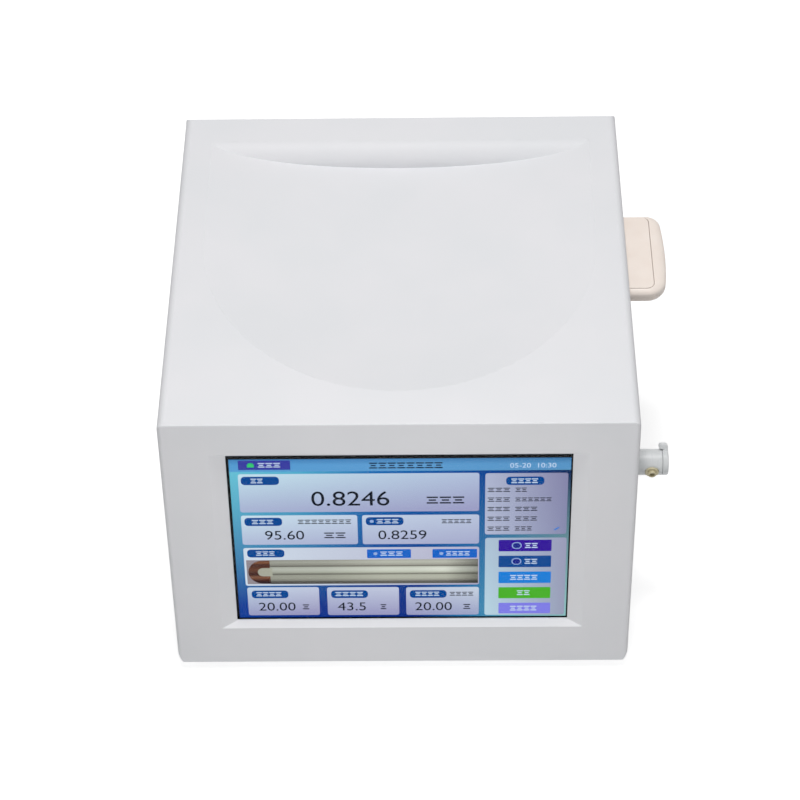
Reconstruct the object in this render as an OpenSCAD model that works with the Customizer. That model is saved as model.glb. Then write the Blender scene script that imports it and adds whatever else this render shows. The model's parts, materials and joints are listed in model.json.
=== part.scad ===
// Benchtop density meter.
// A moulded housing with a scooped top leans its touch screen back at the front. A sample
// port and an air filter box stand out of its right wall. Inside are the oscillating glass
// tube in its tempered block, the pumps that fill and dry it, and the electronics.
// Millimetres, +Z up, front towards -Y, right wall towards +X.
// Origin: on the bench, under the middle of the case.

/* [Case] */
// Width of the case
body_w = 300; // [290:1:340]
// Height of the moulded shell, without the feet
body_h = 189; // [180:1:220]
// Depth of the flat top, front to back
top_d = 276; // [268:1:320]
// Lean of the front face from upright, in degrees
lean = 15; // [8:1:18]
// Wall of the moulded shell
wall = 3; // [2.5:0.5:4]
// Radius of the long edges beside the top
edge_r = 5; // [3:0.5:8]
// Radius of the long edges beside the underside
low_r = 8; // [6:0.5:10]
// Radius of the edges beside the front face
front_r = 3; // [2:0.5:4]

/* [Scooped top] */
// Radius of the scoop's round front rim, seen from above
scoop_r = 130; // [110:1:135]
// Depth of the scoop
scoop_depth = 14; // [8:1:18]
// Distance from the front crease to the centre of the round rim
scoop_back = 157; // [145:1:165]
// Radius of the rolled lip behind the scoop
lip_r = 13; // [9:1:16]
// Width of the flat strip behind the lip
strip_d = 23; // [18:1:30]

/* [Display] */
// Width of the window in the front face
screen_w = 218; // [180:1:224]
// Distance from the crease down to the window
screen_top = 26.5; // [24:0.5:32]
// Distance from the window down to the foot of the front face
screen_low = 34.2; // [32:0.1:50]
// Width of the sloped frame at the window's sides
side_bevel = 10; // [6:1:12]
// Width of the sloped frame above and below the window
low_bevel = 3.5; // [2:0.5:5]
// Depth of the sloped frame
bevel_depth = 4; // [2:0.5:6]
// Thickness of the touch glass
glass_t = 1.8; // [1:0.1:3]
// Thickness of the display module
lcd_t = 6; // [4:0.5:9]

/* [Sample port] */
// Distance from the crease back to the port's axis
port_back = 30; // [25:1:40]
// Distance from the top down to the port's axis
port_down = 77.5; // [70:0.5:85]
// Radius of the port body
port_r = 8.6; // [8:0.1:10]
// Length of the port body outside the wall
port_len = 20; // [18:1:26]
// Thickness of the turning end cap
cap_t = 3.8; // [3:0.1:6]
// Height of the lug on the end cap
lug_h = 4; // [3:0.5:6]
// Radius of the inlet bore that the sample tube pushes into
inlet_bore_r = 1.6; // [1:0.1:2]

/* [Filter box] */
// How far the box stands out of the wall
box_out = 28; // [26:1:34]
// Length of the box, front to back
box_len = 72; // [66:1:84]
// Height of the box
box_h = 11; // [10:0.5:16]
// Distance from the crease back to the middle of the box
box_back = 163; // [150:1:175]
// Distance from the top down to the top of the box
box_drop = 20; // [18:1:40]

/* [Base and feet] */
// Thickness of the base plate
plate_t = 2; // [1.5:0.5:3]
// Height of the rubber feet
foot_h = 6; // [5:1:12]
// Radius of the rubber feet
foot_r = 10; // [9:1:14]
// Distance from the case's side to a foot's centre
foot_in = 34; // [30:1:45]

/* [Measuring cell] */
// Length of the glass legs
leg_len = 118; // [105:1:120]
// Outer radius of the glass tube
tube_r = 2.2; // [1.8:0.1:2.6]
// Bore radius of the glass tube
tube_bore = 1.5; // [1:0.1:1.6]
// Distance between the glass legs
leg_gap = 14; // [12:1:18]
// Height of the thermostat block
block_h = 34; // [30:1:38]

/* [Fans and pumps] */
// Side of the square fan
fan_side = 60; // [50:1:70]
// Thickness of the fan
fan_t = 15; // [12:1:20]
// Radius of the pump rollers
roller_r = 4; // [3:0.5:5]
// Distance from the pump's axis to a roller's axis
roller_orbit = 9.5; // [9:0.5:11]
// Radius of the hoses
hose_r = 1.6; // [1.2:0.1:2]

/* [Hidden] */

// Colours
c_case = [0.91, 0.905, 0.93];
c_cream = [0.93, 0.90, 0.86];
c_steel = [0.72, 0.73, 0.75];
c_zinc = [0.62, 0.64, 0.67];
c_alu = [0.80, 0.81, 0.83];
c_rubber = [0.13, 0.13, 0.14];
c_black = [0.10, 0.10, 0.11];
c_board = [0.10, 0.36, 0.20];
c_glass = [0.75, 0.86, 0.90, 0.45];
c_screen = [0.10, 0.34, 0.62];
c_port = [0.84, 0.85, 0.86];
c_peek = [0.68, 0.63, 0.45];
c_foam = [0.35, 0.35, 0.37];
c_hose = [0.90, 0.91, 0.92];

// Clearances
fit = 0.3;   // between shells, panels and moving faces
run = 0.05;  // radial, round a shaft or a screw that turns
slip = 0.2;  // radial, round a screw that passes through

// Main planes of the case
top_z = foot_h + body_h;
floor_z = foot_h + plate_t;
slope = body_h * tan(lean);
base_d = top_d + slope;
front_y = -base_d / 2;
rear_y = base_d / 2;
crease_y = front_y + slope;
side_x = body_w / 2;
in_x = side_x - wall;
in_top = top_z - wall;
flange_z = floor_z + fit;
in_floor = flange_z + wall;
arc_steps = 8;

// Scoop
ball_r = (scoop_r * scoop_r + scoop_depth * scoop_depth) / (2 * scoop_depth);
ball_y = crease_y + scoop_back;
ball_z = top_z - scoop_depth + ball_r;
lip_y = rear_y - strip_d;
far = 2 * body_w;

// Display stack, as depths behind the front face
screen_h = body_h / cos(lean) - screen_top - screen_low;
ledge_t = 1.2;
gasket_t = 0.8;
pocket_at = bevel_depth + ledge_t;
glass_at = pocket_at + gasket_t;
lcd_at = glass_at + glass_t;
bracket_at = lcd_at + lcd_t;
bracket_t = 1.5;
standoff_h = 10;
board_at = bracket_at + bracket_t + standoff_h;
board_t = 1.6;
screen_mid = screen_top + screen_h / 2;
glass_w = screen_w + 15;
glass_h = screen_h + 14;
frame_w = glass_w + 20;
frame_h = glass_h + 17;
bracket_screw_x = frame_w / 2 - 4.5;
bracket_screw_s = frame_h / 2 - 4;
board_w = 170;
board_h = 100;

// Base
plate_x = side_x - low_r - 1;
plate_front = front_y + low_r + 1;
plate_rear = rear_y - 3;
opening_x = plate_x - 13;
opening_front = plate_front + 16;
opening_rear = rear_y - 20;
plate_screw_x = plate_x - 6.5;
foot_x = side_x - foot_in;
foot_y = base_d / 2 - 36;
plate_screw_y = [front_y + 40, 0, rear_y - 40];
screw_r = 1.5;
foot_screw_r = 2;
foot_round = 1;
collar_h = 3;

// Rear panel
panel_t = 2;
panel_in = 2;
panel_out_y = rear_y - panel_in;
panel_in_y = panel_out_y - panel_t;
panel_x = in_x - fit;
panel_low = in_floor + fit;
panel_high = in_top - fit;
boss = 12;

// Port
port_y = crease_y + port_back;
port_z = top_z - port_down;
neck_r = 6;
neck_len = 19;
port_end_x = side_x + port_len;
spindle_r = 4.5;
spindle_len = 14;
inlet_x = side_x + 0.66 * port_len;
spot_at = port_r - 0.7;
flange_r = 4.5;
flange_t = 1.2;
shank_r = 2.6;
tip_r = 2.75;
tip_len = 1.9;
lug_angle = 55;
lug_w = 5.5;
nipple_r = 1.4;
nipple_len = 5;
nipple_gap = 3;
nut_t = 5;

// Filter box, with its own origin on the wall at its underside
box_y = crease_y + box_back;
box_z = top_z - box_drop - box_h;
box_half = box_h / 2;
box_wall = 1.8;
bulge_r = 260;
lid_t = 2;
lid_in = 1.8;
lid_out = box_out - 9.5;
lid_front = -(box_len / 2 - 4);
lid_rear = box_len / 2 - 2.6;
lid_round = 5;
pin_r = 0.8;
barrel_r = 1.7;
pin_x = 3.2;
pin_z = box_h - 2.2;
spigot_r = 3;
spigot_bore = 1.5;
box_screw_y = box_len / 2 - 14;
box_screw_z = 3;
box_screw_r = 1.2;

// Measuring cell, placed from the right inner wall
cell_gap = 27;
block_right = in_x - cell_gap;
block_len = leg_len + 21;
block_left = block_right - block_len;
block_d = leg_gap + 38;
cell_y = crease_y + 58;
jacket_t = 8;
sink_base_t = 6;
sink_fin_h = 16;
post_h = 26;
post_r = 4;
damper_h = 4;
damper_r = 5;
sink_z = floor_z + post_h + damper_h;
peltier_t = 4;
peltier_side = 40;
block_z = sink_z + sink_base_t + peltier_t;
block_wall = 8;
tube_z = block_z + block_wall + 13;
cover_t = 6;
cover_z = block_z + block_h;
hood_z = cover_z + cover_t;
hood_h = 32;
bend_r = leg_gap / 2;
leg_end_x = block_right + 7;
bend_x = leg_end_x - leg_len;
cavity_left = block_left + block_wall;
cavity_right = block_right - block_wall;
seat_len = 15;
window_left = bend_x + 6;
window_right = cavity_right - seat_len - 2;
window_w = leg_gap + 10;
magnet_t = 2;
sink_left = block_left - jacket_t - 6;
sink_right = block_right + jacket_t + 4;
sink_d = block_d + 2 * jacket_t + 12;

// Pump, with its axis along Y
pump_x = in_x - 57;
pump_z = floor_z + 37;
pump_y = rear_y - 103;
pump_head_t = 22;
track_r = roller_orbit + roller_r + 2 * 1.4;
head_r = track_r + 4;
plate_bt = 2;
motor_r = 13.5;
motor_len = 38;
shaft_r = 2;
roller_len = 12;
roller_pin_r = 1.2;

// Fan, with its axis along Y
fan_x = 20;
fan_z = floor_z + 62;
fan_y = panel_in_y - fan_t;
fan_bore = fan_side / 2 - 1.2;
hub_r = 13;
fan_shaft_r = 1.5;

// Power and data
inlet_x0 = -98;
inlet_z = floor_z + 40;
module_w = 27;
module_h = 60;
module_d = 26;
module_rim = 2.5;
socket_w = 24;
socket_h = 16;
socket_d = 17;
psu_w = 80;
psu_d = 98;
psu_h = 38;
psu_x = -124;
psu_y = foot_y - 12 - psu_d;
ports_x = 92;
ports_z = top_z - 62;
waste_x = 118;
waste_z = floor_z + 42;
waste_r = 2;
waste_len = 12;
spigot_body_r = 4;
air_w = 30;
air_d = 46;
air_h = 26;
air_x = -36;
air_y = rear_y - 110;
board2_w = 76;
board2_d = 84;
board2_x = -124;
board2_y = front_y + 52;
post2_h = 8;

// ---------------------------------------------------------------- helpers

// Points of an arc, from angle a to angle b
function arc(x, y, r, a, b, n = arc_steps) =
  [for (i = [0 : n]) let (t = a + (b - a) * i / n) [x + r * cos(t), y + r * sin(t)]];

// A rectangle with its own radius at the low and the high corners
function soft_rect(x0, y0, x1, y1, low, high) = concat(
  arc(x0 + low, y0 + low, low, 180, 270), arc(x1 - low, y0 + low, low, 270, 360),
  arc(x1 - high, y1 - high, high, 0, 90), arc(x0 + high, y1 - high, high, 90, 180));

// A flat shape drawn in X and Z, pulled from y0 to y1
module pull_y(y0, y1)
  translate([0, y1, 0]) rotate([90, 0, 0]) linear_extrude(y1 - y0) children();

// A flat shape drawn in Y and Z, pulled from x0 to x1
module pull_x(x0, x1)
  translate([x0, 0, 0]) rotate([90, 0, 90]) linear_extrude(x1 - x0) children();

module box(x0, y0, z0, x1, y1, z1)
  translate([x0, y0, z0]) cube([x1 - x0, y1 - y0, z1 - z0]);

module rod_x(x0, x1, y, z, r, fn = 48)
  translate([x0, y, z]) rotate([0, 90, 0]) cylinder(h = x1 - x0, r = r, $fn = fn);

module rod_y(y0, y1, x, z, r, fn = 48)
  translate([x, y1, z]) rotate([90, 0, 0]) cylinder(h = y1 - y0, r = r, $fn = fn);

module rod_z(z0, z1, x, y, r, fn = 48)
  translate([x, y, z0]) cylinder(h = z1 - z0, r = r, $fn = fn);

// The front face's own frame: x across, y the depth behind the face, z up the slope
module on_front() translate([0, crease_y, top_z]) rotate([-lean, 0, 0]) children();

// A block in that frame, centred on the window: half sizes, then the two depths
module front_block(hx, hs, d0, d1)
  on_front() box(-hx, d0, -screen_mid - hs, hx, d1, -screen_mid + hs);

// Places for the display bracket's screws
module at_bracket_screws()
  on_front() for (x = [-1, 1], s = [-1, 1])
    translate([x * bracket_screw_x, 0, s * bracket_screw_s - screen_mid])
      rotate([-90, 0, 0]) children();

// A screw with its head above z = 0 and its shank below
module screw(r, len, head_r = 0, head_h = 0) {
  translate([0, 0, -len]) cylinder(h = len, r = r, $fn = 24);
  difference() {
    cylinder(h = head_h ? head_h : 1.1 * r, r = head_r ? head_r : 1.9 * r, $fn = 32);
    translate([0, 0, 0.4 * r]) cylinder(h = 2 * r, r = 0.6 * r, $fn = 6);
  }
}

// Smooth path through chosen points
function unit(v) = v / norm(v);
function between(a, b, c, d, t) = 0.5 * (2 * b + (c - a) * t
  + (2 * a - 5 * b + 4 * c - d) * t * t + (3 * b - a - 3 * c + d) * t * t * t);
function path(p, n) = let (k = len(p) - 1, q = concat([2 * p[0] - p[1]], p, [2 * p[k] - p[k - 1]]))
  concat([for (i = [0 : k - 1], j = [0 : n - 1])
    between(q[i], q[i + 1], q[i + 2], q[i + 3], j / n)], [p[k]]);

// A round hose along the path; ref is a direction that the path never points in
module hose(p, r, ref, n = 3, sides = 8) {
  c = path(p, n);
  m = len(c);
  ring = [for (i = [0 : m - 1])
    let (t = unit(i == 0 ? p[1] - p[0] : i == m - 1 ? c[i] - p[len(p) - 2] : c[i + 1] - c[i - 1]),
         u = unit(cross(t, ref)), v = cross(t, u))
    for (k = [0 : sides - 1]) c[i] + r * (u * cos(360 * k / sides) + v * sin(360 * k / sides))];
  walls = [for (i = [0 : m - 2], k = [0 : sides - 1])
    let (a = i * sides + k, b = i * sides + (k + 1) % sides)
    each [[a, b, a + sides], [b, b + sides, a + sides]]];
  caps = [[for (k = [0 : sides - 1]) sides - 1 - k],
          [for (k = [0 : sides - 1]) (m - 1) * sides + k]];
  polyhedron(ring, concat(walls, caps), convexity = 6);
}

// ---------------------------------------------------------------- housing

// The closed outer form: upright section cut by the leaning front
module outer_form() intersection() {
  pull_y(-far, rear_y)
    polygon(soft_rect(-side_x, foot_h, side_x, top_z, low_r, edge_r));
  on_front() translate([0, 0, -far]) linear_extrude(2 * far)
    polygon(concat(arc(side_x + 0.2 - front_r, front_r, front_r, 270, 360),
      [[side_x + 0.2, far], [-side_x - 0.2, far]],
      arc(front_r - side_x - 0.2, front_r, front_r, 180, 270)));
}

// The scoop; grow moves its surface down into the case by the wall. Ball and rear form are cut in
// the ball's own frame, at y = 0, so that they meet with no web between them
module scoop(grow) {
  r = lip_r - grow;
  roof = top_z + 5 - ball_z;
  difference() {
    translate([0, ball_y, ball_z]) {
      intersection() {
        rotate([-90, 0, 0]) sphere(r = ball_r + grow, $fn = 240);
        box(-side_x, -far, -ball_r - 2 * wall - 10, side_x, 0, roof);
      }
      intersection() {
        rotate([-90, 0, 0]) cylinder(h = far, r = ball_r + grow, $fn = 240);
        box(-side_x, 0, -ball_r - 2 * wall - 10, side_x, far, roof);
      }
    }
    pull_x(-far, far) polygon(concat(
      [[lip_y - r, top_z - far], [lip_y - r, top_z - lip_r]],
      arc(lip_y, top_z - lip_r, r, 180, 90, 12),
      [[lip_y, top_z + far], [lip_y + far, top_z + far], [lip_y + far, top_z - far]]));
  }
}

// The space inside the walls
module inner_space() difference() {
  intersection() {
    pull_y(-far, rear_y + 1)
      polygon(soft_rect(-in_x, in_floor, in_x, in_top, max(low_r - wall, 1), max(edge_r - wall, 1)));
    on_front() box(-far, wall, -far, far, far, far);
  }
  scoop(wall);
}

// Corner blocks that the rear panel screws into
module at_rear_bosses()
  for (x = [-1, 1], z = [in_floor + boss / 2, in_top - boss / 2])
    translate([x * (in_x - boss / 2), panel_in_y, z]) children();

module at_plate_screws()
  for (x = [-1, 1], y = plate_screw_y) translate([x * plate_screw_x, y, 0]) children();

module housing_shell() color(c_case) difference() {
  union() {
    difference() {
      outer_form();
      inner_space();
      scoop(0);
    }
    // frame that carries the display behind the window
    front_block(frame_w / 2, frame_h / 2, wall - 0.5, bracket_at);
    at_rear_bosses() translate([-boss / 2 - 0.5, -14, -boss / 2 - 0.5]) cube([boss + 1, 14, boss + 1]);
    at_plate_screws() translate([0, 0, flange_z]) cylinder(h = wall + 5, r = 4, $fn = 32);
  }
  // sloped frame and window
  on_front() translate([0, 0, -screen_mid]) hull() {
    box(-screen_w / 2 - side_bevel, -0.5, -screen_h / 2 - low_bevel,
        screen_w / 2 + side_bevel, 0, screen_h / 2 + low_bevel);
    box(-screen_w / 2, bevel_depth - 0.01, -screen_h / 2, screen_w / 2, bevel_depth, screen_h / 2);
  }
  front_block(screen_w / 2, screen_h / 2, 0, bracket_at + 1);
  front_block(glass_w / 2 + fit, glass_h / 2 + fit, pocket_at, bracket_at + 1);
  at_bracket_screws() translate([0, 0, bracket_at - 8]) cylinder(h = 9, r = screw_r + run, $fn = 24);
  // underside: rebate for the plate, then the opening above it
  box(-plate_x - fit, plate_front - fit, foot_h - 1, plate_x + fit, plate_rear + fit, flange_z);
  box(-opening_x, opening_front, flange_z - 1, opening_x, opening_rear, in_floor + 1);
  at_plate_screws() translate([0, 0, flange_z - 1]) cylinder(h = wall + 4, r = screw_r + run, $fn = 24);
  at_rear_bosses() rotate([90, 0, 0]) translate([0, 0, -1]) cylinder(h = 11, r = screw_r + run, $fn = 24);
  // right wall: port, filter box
  rod_x(in_x - 1, side_x + 1, port_y, port_z, neck_r + slip);
  rod_x(in_x - 1, side_x + 1, box_y, box_z + box_half, spigot_r + slip);
  for (s = [-1, 1])
    rod_x(in_x - 1, side_x + 1, box_y + s * box_screw_y, box_z + box_screw_z, box_screw_r + slip);
}

// ---------------------------------------------------------------- base and feet

module at_feet() for (x = [-1, 1], y = [-1, 1]) translate([x * foot_x, y * foot_y, 0]) children();

module base_plate() color(c_zinc) difference() {
  union() {
    translate([0, 0, foot_h]) linear_extrude(plate_t)
      polygon(soft_rect(-plate_x, plate_front, plate_x, plate_rear, 3, 3));
    // stand-offs that the control board sits on
    at_board2_posts() translate([0, 0, floor_z - 0.5]) cylinder(h = post2_h + 0.5, r = 3, $fn = 24);
    // drawn collars with the threads of the foot screws
    at_feet() translate([0, 0, floor_z - 0.5]) cylinder(h = collar_h + 0.5, r = 2 * foot_screw_r, $fn = 32);
  }
  at_plate_screws() translate([0, 0, foot_h - 1]) cylinder(h = plate_t + 2, r = screw_r + slip, $fn = 24);
  at_feet() translate([0, 0, foot_h - 1])
    cylinder(h = plate_t + collar_h + 2, r = foot_screw_r + run, $fn = 24);
  // air slots under the heat sink
  for (i = [-4 : 4])
    box((sink_left + sink_right) / 2 + 11 * i - 2, cell_y - 28, foot_h - 1,
        (sink_left + sink_right) / 2 + 11 * i + 2, cell_y + 28, floor_z + 1);
}

module base_screws() color(c_steel)
  at_plate_screws() translate([0, 0, foot_h]) mirror([0, 0, 1]) screw(screw_r, plate_t + wall + 2.5);

module rubber_feet() color(c_rubber) at_feet() rotate_extrude($fn = 64) polygon(concat(
  [[foot_screw_r + slip, foot_h], [foot_screw_r + slip, foot_h / 2], [5, foot_h / 2], [5, 0]],
  arc(foot_r - foot_round, foot_round, foot_round, 270, 360, 4), [[foot_r, foot_h]]));

module foot_screws() color(c_steel)
  at_feet() translate([0, 0, foot_h / 2]) mirror([0, 0, 1])
    screw(foot_screw_r, foot_h / 2 + plate_t + collar_h + 1, 3.8, 1.8);

// ---------------------------------------------------------------- rear panel

module at_air_slots() for (i = [-3 : 3]) translate([fan_x + 7 * i, 0, fan_z])
  cube([3, 30, sqrt(pow(fan_side / 2 - 4, 2) - pow(7 * i, 2)) * 2], center = true);

module rear_panel() color(c_case) difference() {
  pull_y(panel_in_y, panel_out_y)
    polygon(soft_rect(-panel_x, panel_low, panel_x, panel_high, 4, 4));
  translate([0, panel_out_y, 0]) at_air_slots();
  for (x = [-1, 1], z = [-1, 1])
    rod_y(panel_in_y - 1, panel_out_y + 1, fan_x + x * (fan_side / 2 - 5), fan_z + z * (fan_side / 2 - 5), 2);
  at_rear_bosses() rotate([90, 0, 0]) translate([0, 0, -panel_t - 1])
    cylinder(h = panel_t + 2, r = screw_r + slip, $fn = 24);
  box(inlet_x0 - module_w / 2 - fit, panel_in_y - 1, inlet_z - module_h / 2 - fit,
      inlet_x0 + module_w / 2 + fit, panel_out_y + 1, inlet_z + module_h / 2 + fit);
  at_ports() port_hole();
  rod_y(panel_in_y - 1, panel_out_y + 1, waste_x, waste_z, spigot_body_r + slip);
}

module rear_screws() color(c_steel) {
  at_rear_bosses() translate([0, panel_t, 0]) rotate([-90, 0, 0]) screw(screw_r, panel_t + 8);
  for (x = [-1, 1], z = [-1, 1])
    translate([fan_x + x * (fan_side / 2 - 5), panel_out_y, fan_z + z * (fan_side / 2 - 5)])
      rotate([-90, 0, 0]) screw(1.8, panel_t + 6);
}

// Spigot that the waste hose pushes on to, outside and inside
module waste_spigot() color(c_port) difference() {
  union() {
    rod_y(panel_in_y - 14, panel_out_y + 3 + waste_len, waste_x, waste_z, waste_r);
    rod_y(panel_in_y - 6, panel_out_y + 1, waste_x, waste_z, spigot_body_r);
    translate([waste_x, panel_out_y + 3, waste_z]) rotate([90, 0, 0]) cylinder(h = 3, r = 6.5, $fn = 6);
  }
  rod_y(panel_in_y - 15, panel_out_y + 4 + waste_len, waste_x, waste_z, waste_r / 2);
}

// ---------------------------------------------------------------- display

module display_gasket() color(c_foam) difference() {
  front_block(glass_w / 2, glass_h / 2, pocket_at, glass_at);
  front_block(screen_w / 2 + 2, screen_h / 2 + 2, pocket_at - 1, glass_at + 1);
}

module touch_glass() color(c_black) front_block(glass_w / 2, glass_h / 2, glass_at, lcd_at);

module lcd_module() color(c_screen) front_block(glass_w / 2 - 2, glass_h / 2 - 1, lcd_at, bracket_at);

module display_bracket() color(c_zinc) difference() {
  front_block(frame_w / 2, frame_h / 2, bracket_at, bracket_at + bracket_t);
  front_block(board_w / 2 - 20, board_h / 2 - 20, bracket_at - 1, bracket_at + bracket_t + 1);
  at_bracket_screws() translate([0, 0, bracket_at - 1]) cylinder(h = 4, r = screw_r + slip, $fn = 24);
}

module bracket_screws() color(c_steel)
  at_bracket_screws() translate([0, 0, bracket_at + bracket_t]) screw(screw_r, bracket_t + 6);

module at_standoffs() on_front() for (x = [-1, 1], s = [-1, 1])
  translate([x * (board_w / 2 - 6), bracket_at + bracket_t, s * (board_h / 2 - 6) - screen_mid])
    rotate([-90, 0, 0]) children();

module board_standoffs() color("goldenrod") at_standoffs() {
  cylinder(h = standoff_h, r = 2.8, $fn = 6);
  translate([0, 0, standoff_h]) cylinder(h = board_t + 2.5, r = screw_r, $fn = 24);
}

module main_board() color(c_board) {
  difference() {
    front_block(board_w / 2, board_h / 2, board_at, board_at + board_t);
    at_standoffs() translate([0, 0, standoff_h - 1]) cylinder(h = board_t + 2, r = screw_r + slip, $fn = 24);
  }
  // processor sink, plugs and coils on the back of the board
  on_front() translate([0, board_at + board_t - 0.1, -screen_mid]) {
    translate([-20, 0, -10]) cube([28, 3, 28]);
    for (i = [0 : 6]) translate([-20 + 4.4 * i, 2.9, -10]) cube([1.6, 7, 28]);
    translate([40, 0, -40]) cube([16, 11, 14]);
    translate([60, 0, -40]) cube([15, 8, 16]);
    translate([-70, 0, 8]) cube([30, 6, 8]);
  }
}

// Flat ribbon from the display's back, through the bracket, to the board
module display_ribbon() color([0.85, 0.80, 0.62]) on_front() translate([0, 0, -screen_mid]) {
  box(-14, bracket_at, -board_h / 2 + 22, 14, board_at - 2.5, -board_h / 2 + 22.4);
  box(-14, board_at - 3, -board_h / 2 + 22, 14, board_at, -board_h / 2 + 26);
}

// ---------------------------------------------------------------- sample port

module port_body() color(c_port) difference() {
  union() {
    rod_x(side_x, port_end_x, port_y, port_z, port_r, 96);
    rod_x(side_x - neck_len, side_x + 1, port_y, port_z, neck_r, 64);
    for (s = [-1, 1])
      rod_x(side_x - neck_len - nipple_len, side_x - neck_len + 1, port_y, port_z + s * nipple_gap, nipple_r);
  }
  rod_x(port_end_x - spindle_len - 0.5, port_end_x + 1, port_y, port_z, spindle_r + run, 64);
  for (s = [-1, 1])
    rod_x(side_x - neck_len - nipple_len - 1, port_end_x - spindle_len, port_y, port_z + s * nipple_gap, 0.7);
  // flat seat and side bore of the inlet fitting
  rod_y(port_y - port_r - 1, port_y - spot_at, inlet_x, port_z, flange_r + fit);
  rod_y(port_y - port_r - 1, port_y - 3, inlet_x, port_z, shank_r + run);
}

// Hexagon nuts behind the wall and the rear panel
module bulkhead_nuts() color(c_port) {
  difference() {
    translate([in_x - nut_t, port_y, port_z]) rotate([0, 90, 0]) cylinder(h = nut_t, r = 10, $fn = 6);
    rod_x(in_x - nut_t - 1, in_x + 1, port_y, port_z, neck_r + run, 64);
  }
  difference() {
    translate([waste_x, panel_in_y, waste_z]) rotate([90, 0, 0]) cylinder(h = 4, r = 7, $fn = 6);
    rod_y(panel_in_y - 5, panel_in_y + 1, waste_x, waste_z, spigot_body_r + run);
  }
}

// Turning cap with its thumb lug; its spindle is the plug of the two-way cock
module port_cap() color(c_port) difference() {
  union() {
    rod_x(port_end_x + slip, port_end_x + slip + cap_t, port_y, port_z, port_r, 96);
    rod_x(port_end_x - spindle_len, port_end_x + 1, port_y, port_z, spindle_r, 64);
    translate([port_end_x + slip, port_y, port_z]) rotate([lug_angle, 0, 0]) {
      translate([0, 0, -lug_w / 2]) cube([cap_t, port_r + lug_h - lug_w / 2, lug_w]);
      translate([0, port_r + lug_h - lug_w / 2, 0]) rotate([0, 90, 0])
        cylinder(h = cap_t, r = lug_w / 2, $fn = 32);
    }
  }
  // flow groove across the spindle
  rod_y(port_y - port_r, port_y + port_r, inlet_x, port_z, 0.9);
}

module inlet_fitting() color(c_peek) difference() {
  union() {
    rod_y(port_y - spot_at - flange_t, port_y - spot_at, inlet_x, port_z, flange_r);
    rod_y(port_y - spot_at - flange_t - tip_len, port_y - spot_at, inlet_x, port_z, tip_r);
    rod_y(port_y - spot_at - 0.5, port_y - spindle_r - 0.6, inlet_x, port_z, shank_r);
  }
  rod_y(port_y - spot_at - flange_t - tip_len - 1, port_y - spindle_r - 1.2, inlet_x, port_z, inlet_bore_r);
  rod_y(port_y - port_r, port_y, inlet_x, port_z, 0.8);
}

// ---------------------------------------------------------------- air filter box

// Outline seen from above, drawn in by inset; x = 0 is the case's wall
module box_outline(inset) intersection() {
  polygon(concat([[0, box_len / 2 - inset], [0, inset - box_len / 2]],
    arc(box_out - 11, 11 - box_len / 2, 11 - inset, 270, 360),
    arc(box_out - 8, box_len / 2 - 8, 8 - inset, 0, 90)));
  translate([box_out - bulge_r, 0]) circle(r = bulge_r - inset, $fn = 360);
}

module box_slab(z, inset) translate([0, 0, z]) linear_extrude(0.02) box_outline(inset);

module on_box() translate([side_x, box_y, box_z]) children();

module filter_base() color(c_cream) on_box() difference() {
  union() {
    hull() {
      box_slab(0, 5);
      box_slab(1, 2.6);
      box_slab(2.8, 0.8);
      box_slab(box_half - 0.02, 0);
    }
    rod_x(-wall - 6, 0.2, 0, box_half, spigot_r);
  }
  translate([0, 0, box_wall]) linear_extrude(box_h)
    intersection() {
      box_outline(box_wall + 0.8);
      translate([box_wall, -box_len]) square([box_out, 2 * box_len]);
    }
  rod_x(-wall - 7, box_wall + 1, 0, box_half, spigot_bore);
  for (s = [-1, 1]) rod_x(-1, box_wall + 1, s * box_screw_y, box_screw_z, box_screw_r + run);
}

module lid_outline(grow) polygon(concat(
  [[lid_in - grow, lid_rear + grow], [lid_in - grow, lid_front - grow]],
  arc(lid_out - lid_round, lid_front + lid_round, lid_round + grow, 270, 360),
  arc(lid_out - lid_round, lid_rear - lid_round, lid_round + grow, 0, 90)));

module filter_cover() color(c_cream) on_box() difference() {
  hull() {
    box_slab(box_half, 0);
    box_slab(box_h - 3, 1);
    box_slab(box_h - 1.2, 3.2);
    box_slab(box_h - 0.02, 6);
  }
  // hollow under the roof, the lid's opening with its ledge, and room for the hinge barrel
  translate([0, 0, box_half - 1]) linear_extrude(box_half - 1)
    intersection() {
      box_outline(box_wall + 1.6);
      union() {
        translate([-1, lid_front + 1.2]) square([lid_out, lid_rear - lid_front - 2.4]);
        translate([-1, lid_front + 4]) square([box_out, lid_rear - lid_front - 8]);
      }
    }
  translate([0, 0, box_h - lid_t - fit]) linear_extrude(lid_t + 1) lid_outline(fit);
  translate([-1, lid_front - fit, box_half - 1])
    cube([pin_x + barrel_r + 1.6, lid_rear - lid_front + 2 * fit, box_h]);
  rod_y(lid_front - 2.4, lid_rear + 1.7, pin_x, pin_z, pin_r + 0.02, 24);
}

module filter_lid() color(c_cream) on_box() difference() {
  union() {
    translate([0, 0, box_h - lid_t]) linear_extrude(lid_t) lid_outline(0);
    rod_y(lid_front, lid_rear, pin_x, pin_z, barrel_r, 32);
  }
  rod_y(lid_front - 1, lid_rear + 1, pin_x, pin_z, pin_r + run, 24);
}

module filter_lid_pin() color(c_steel) on_box()
  rod_y(lid_front - 2, lid_rear + 1.3, pin_x, pin_z, pin_r, 24);

module filter_pad() color([0.80, 0.82, 0.84]) on_box()
  translate([0, 0, box_wall]) linear_extrude(box_h - 6) intersection() {
    box_outline(box_wall + 2.2);
    translate([pin_x + barrel_r + 0.6, lid_front + 4.5]) square([box_out, lid_rear - lid_front - 9]);
  }

module filter_screws() color(c_steel) on_box() for (s = [-1, 1])
  translate([-wall, s * box_screw_y, box_screw_z]) rotate([0, -90, 0])
    screw(box_screw_r, wall + box_wall);

// ---------------------------------------------------------------- measuring cell

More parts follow.
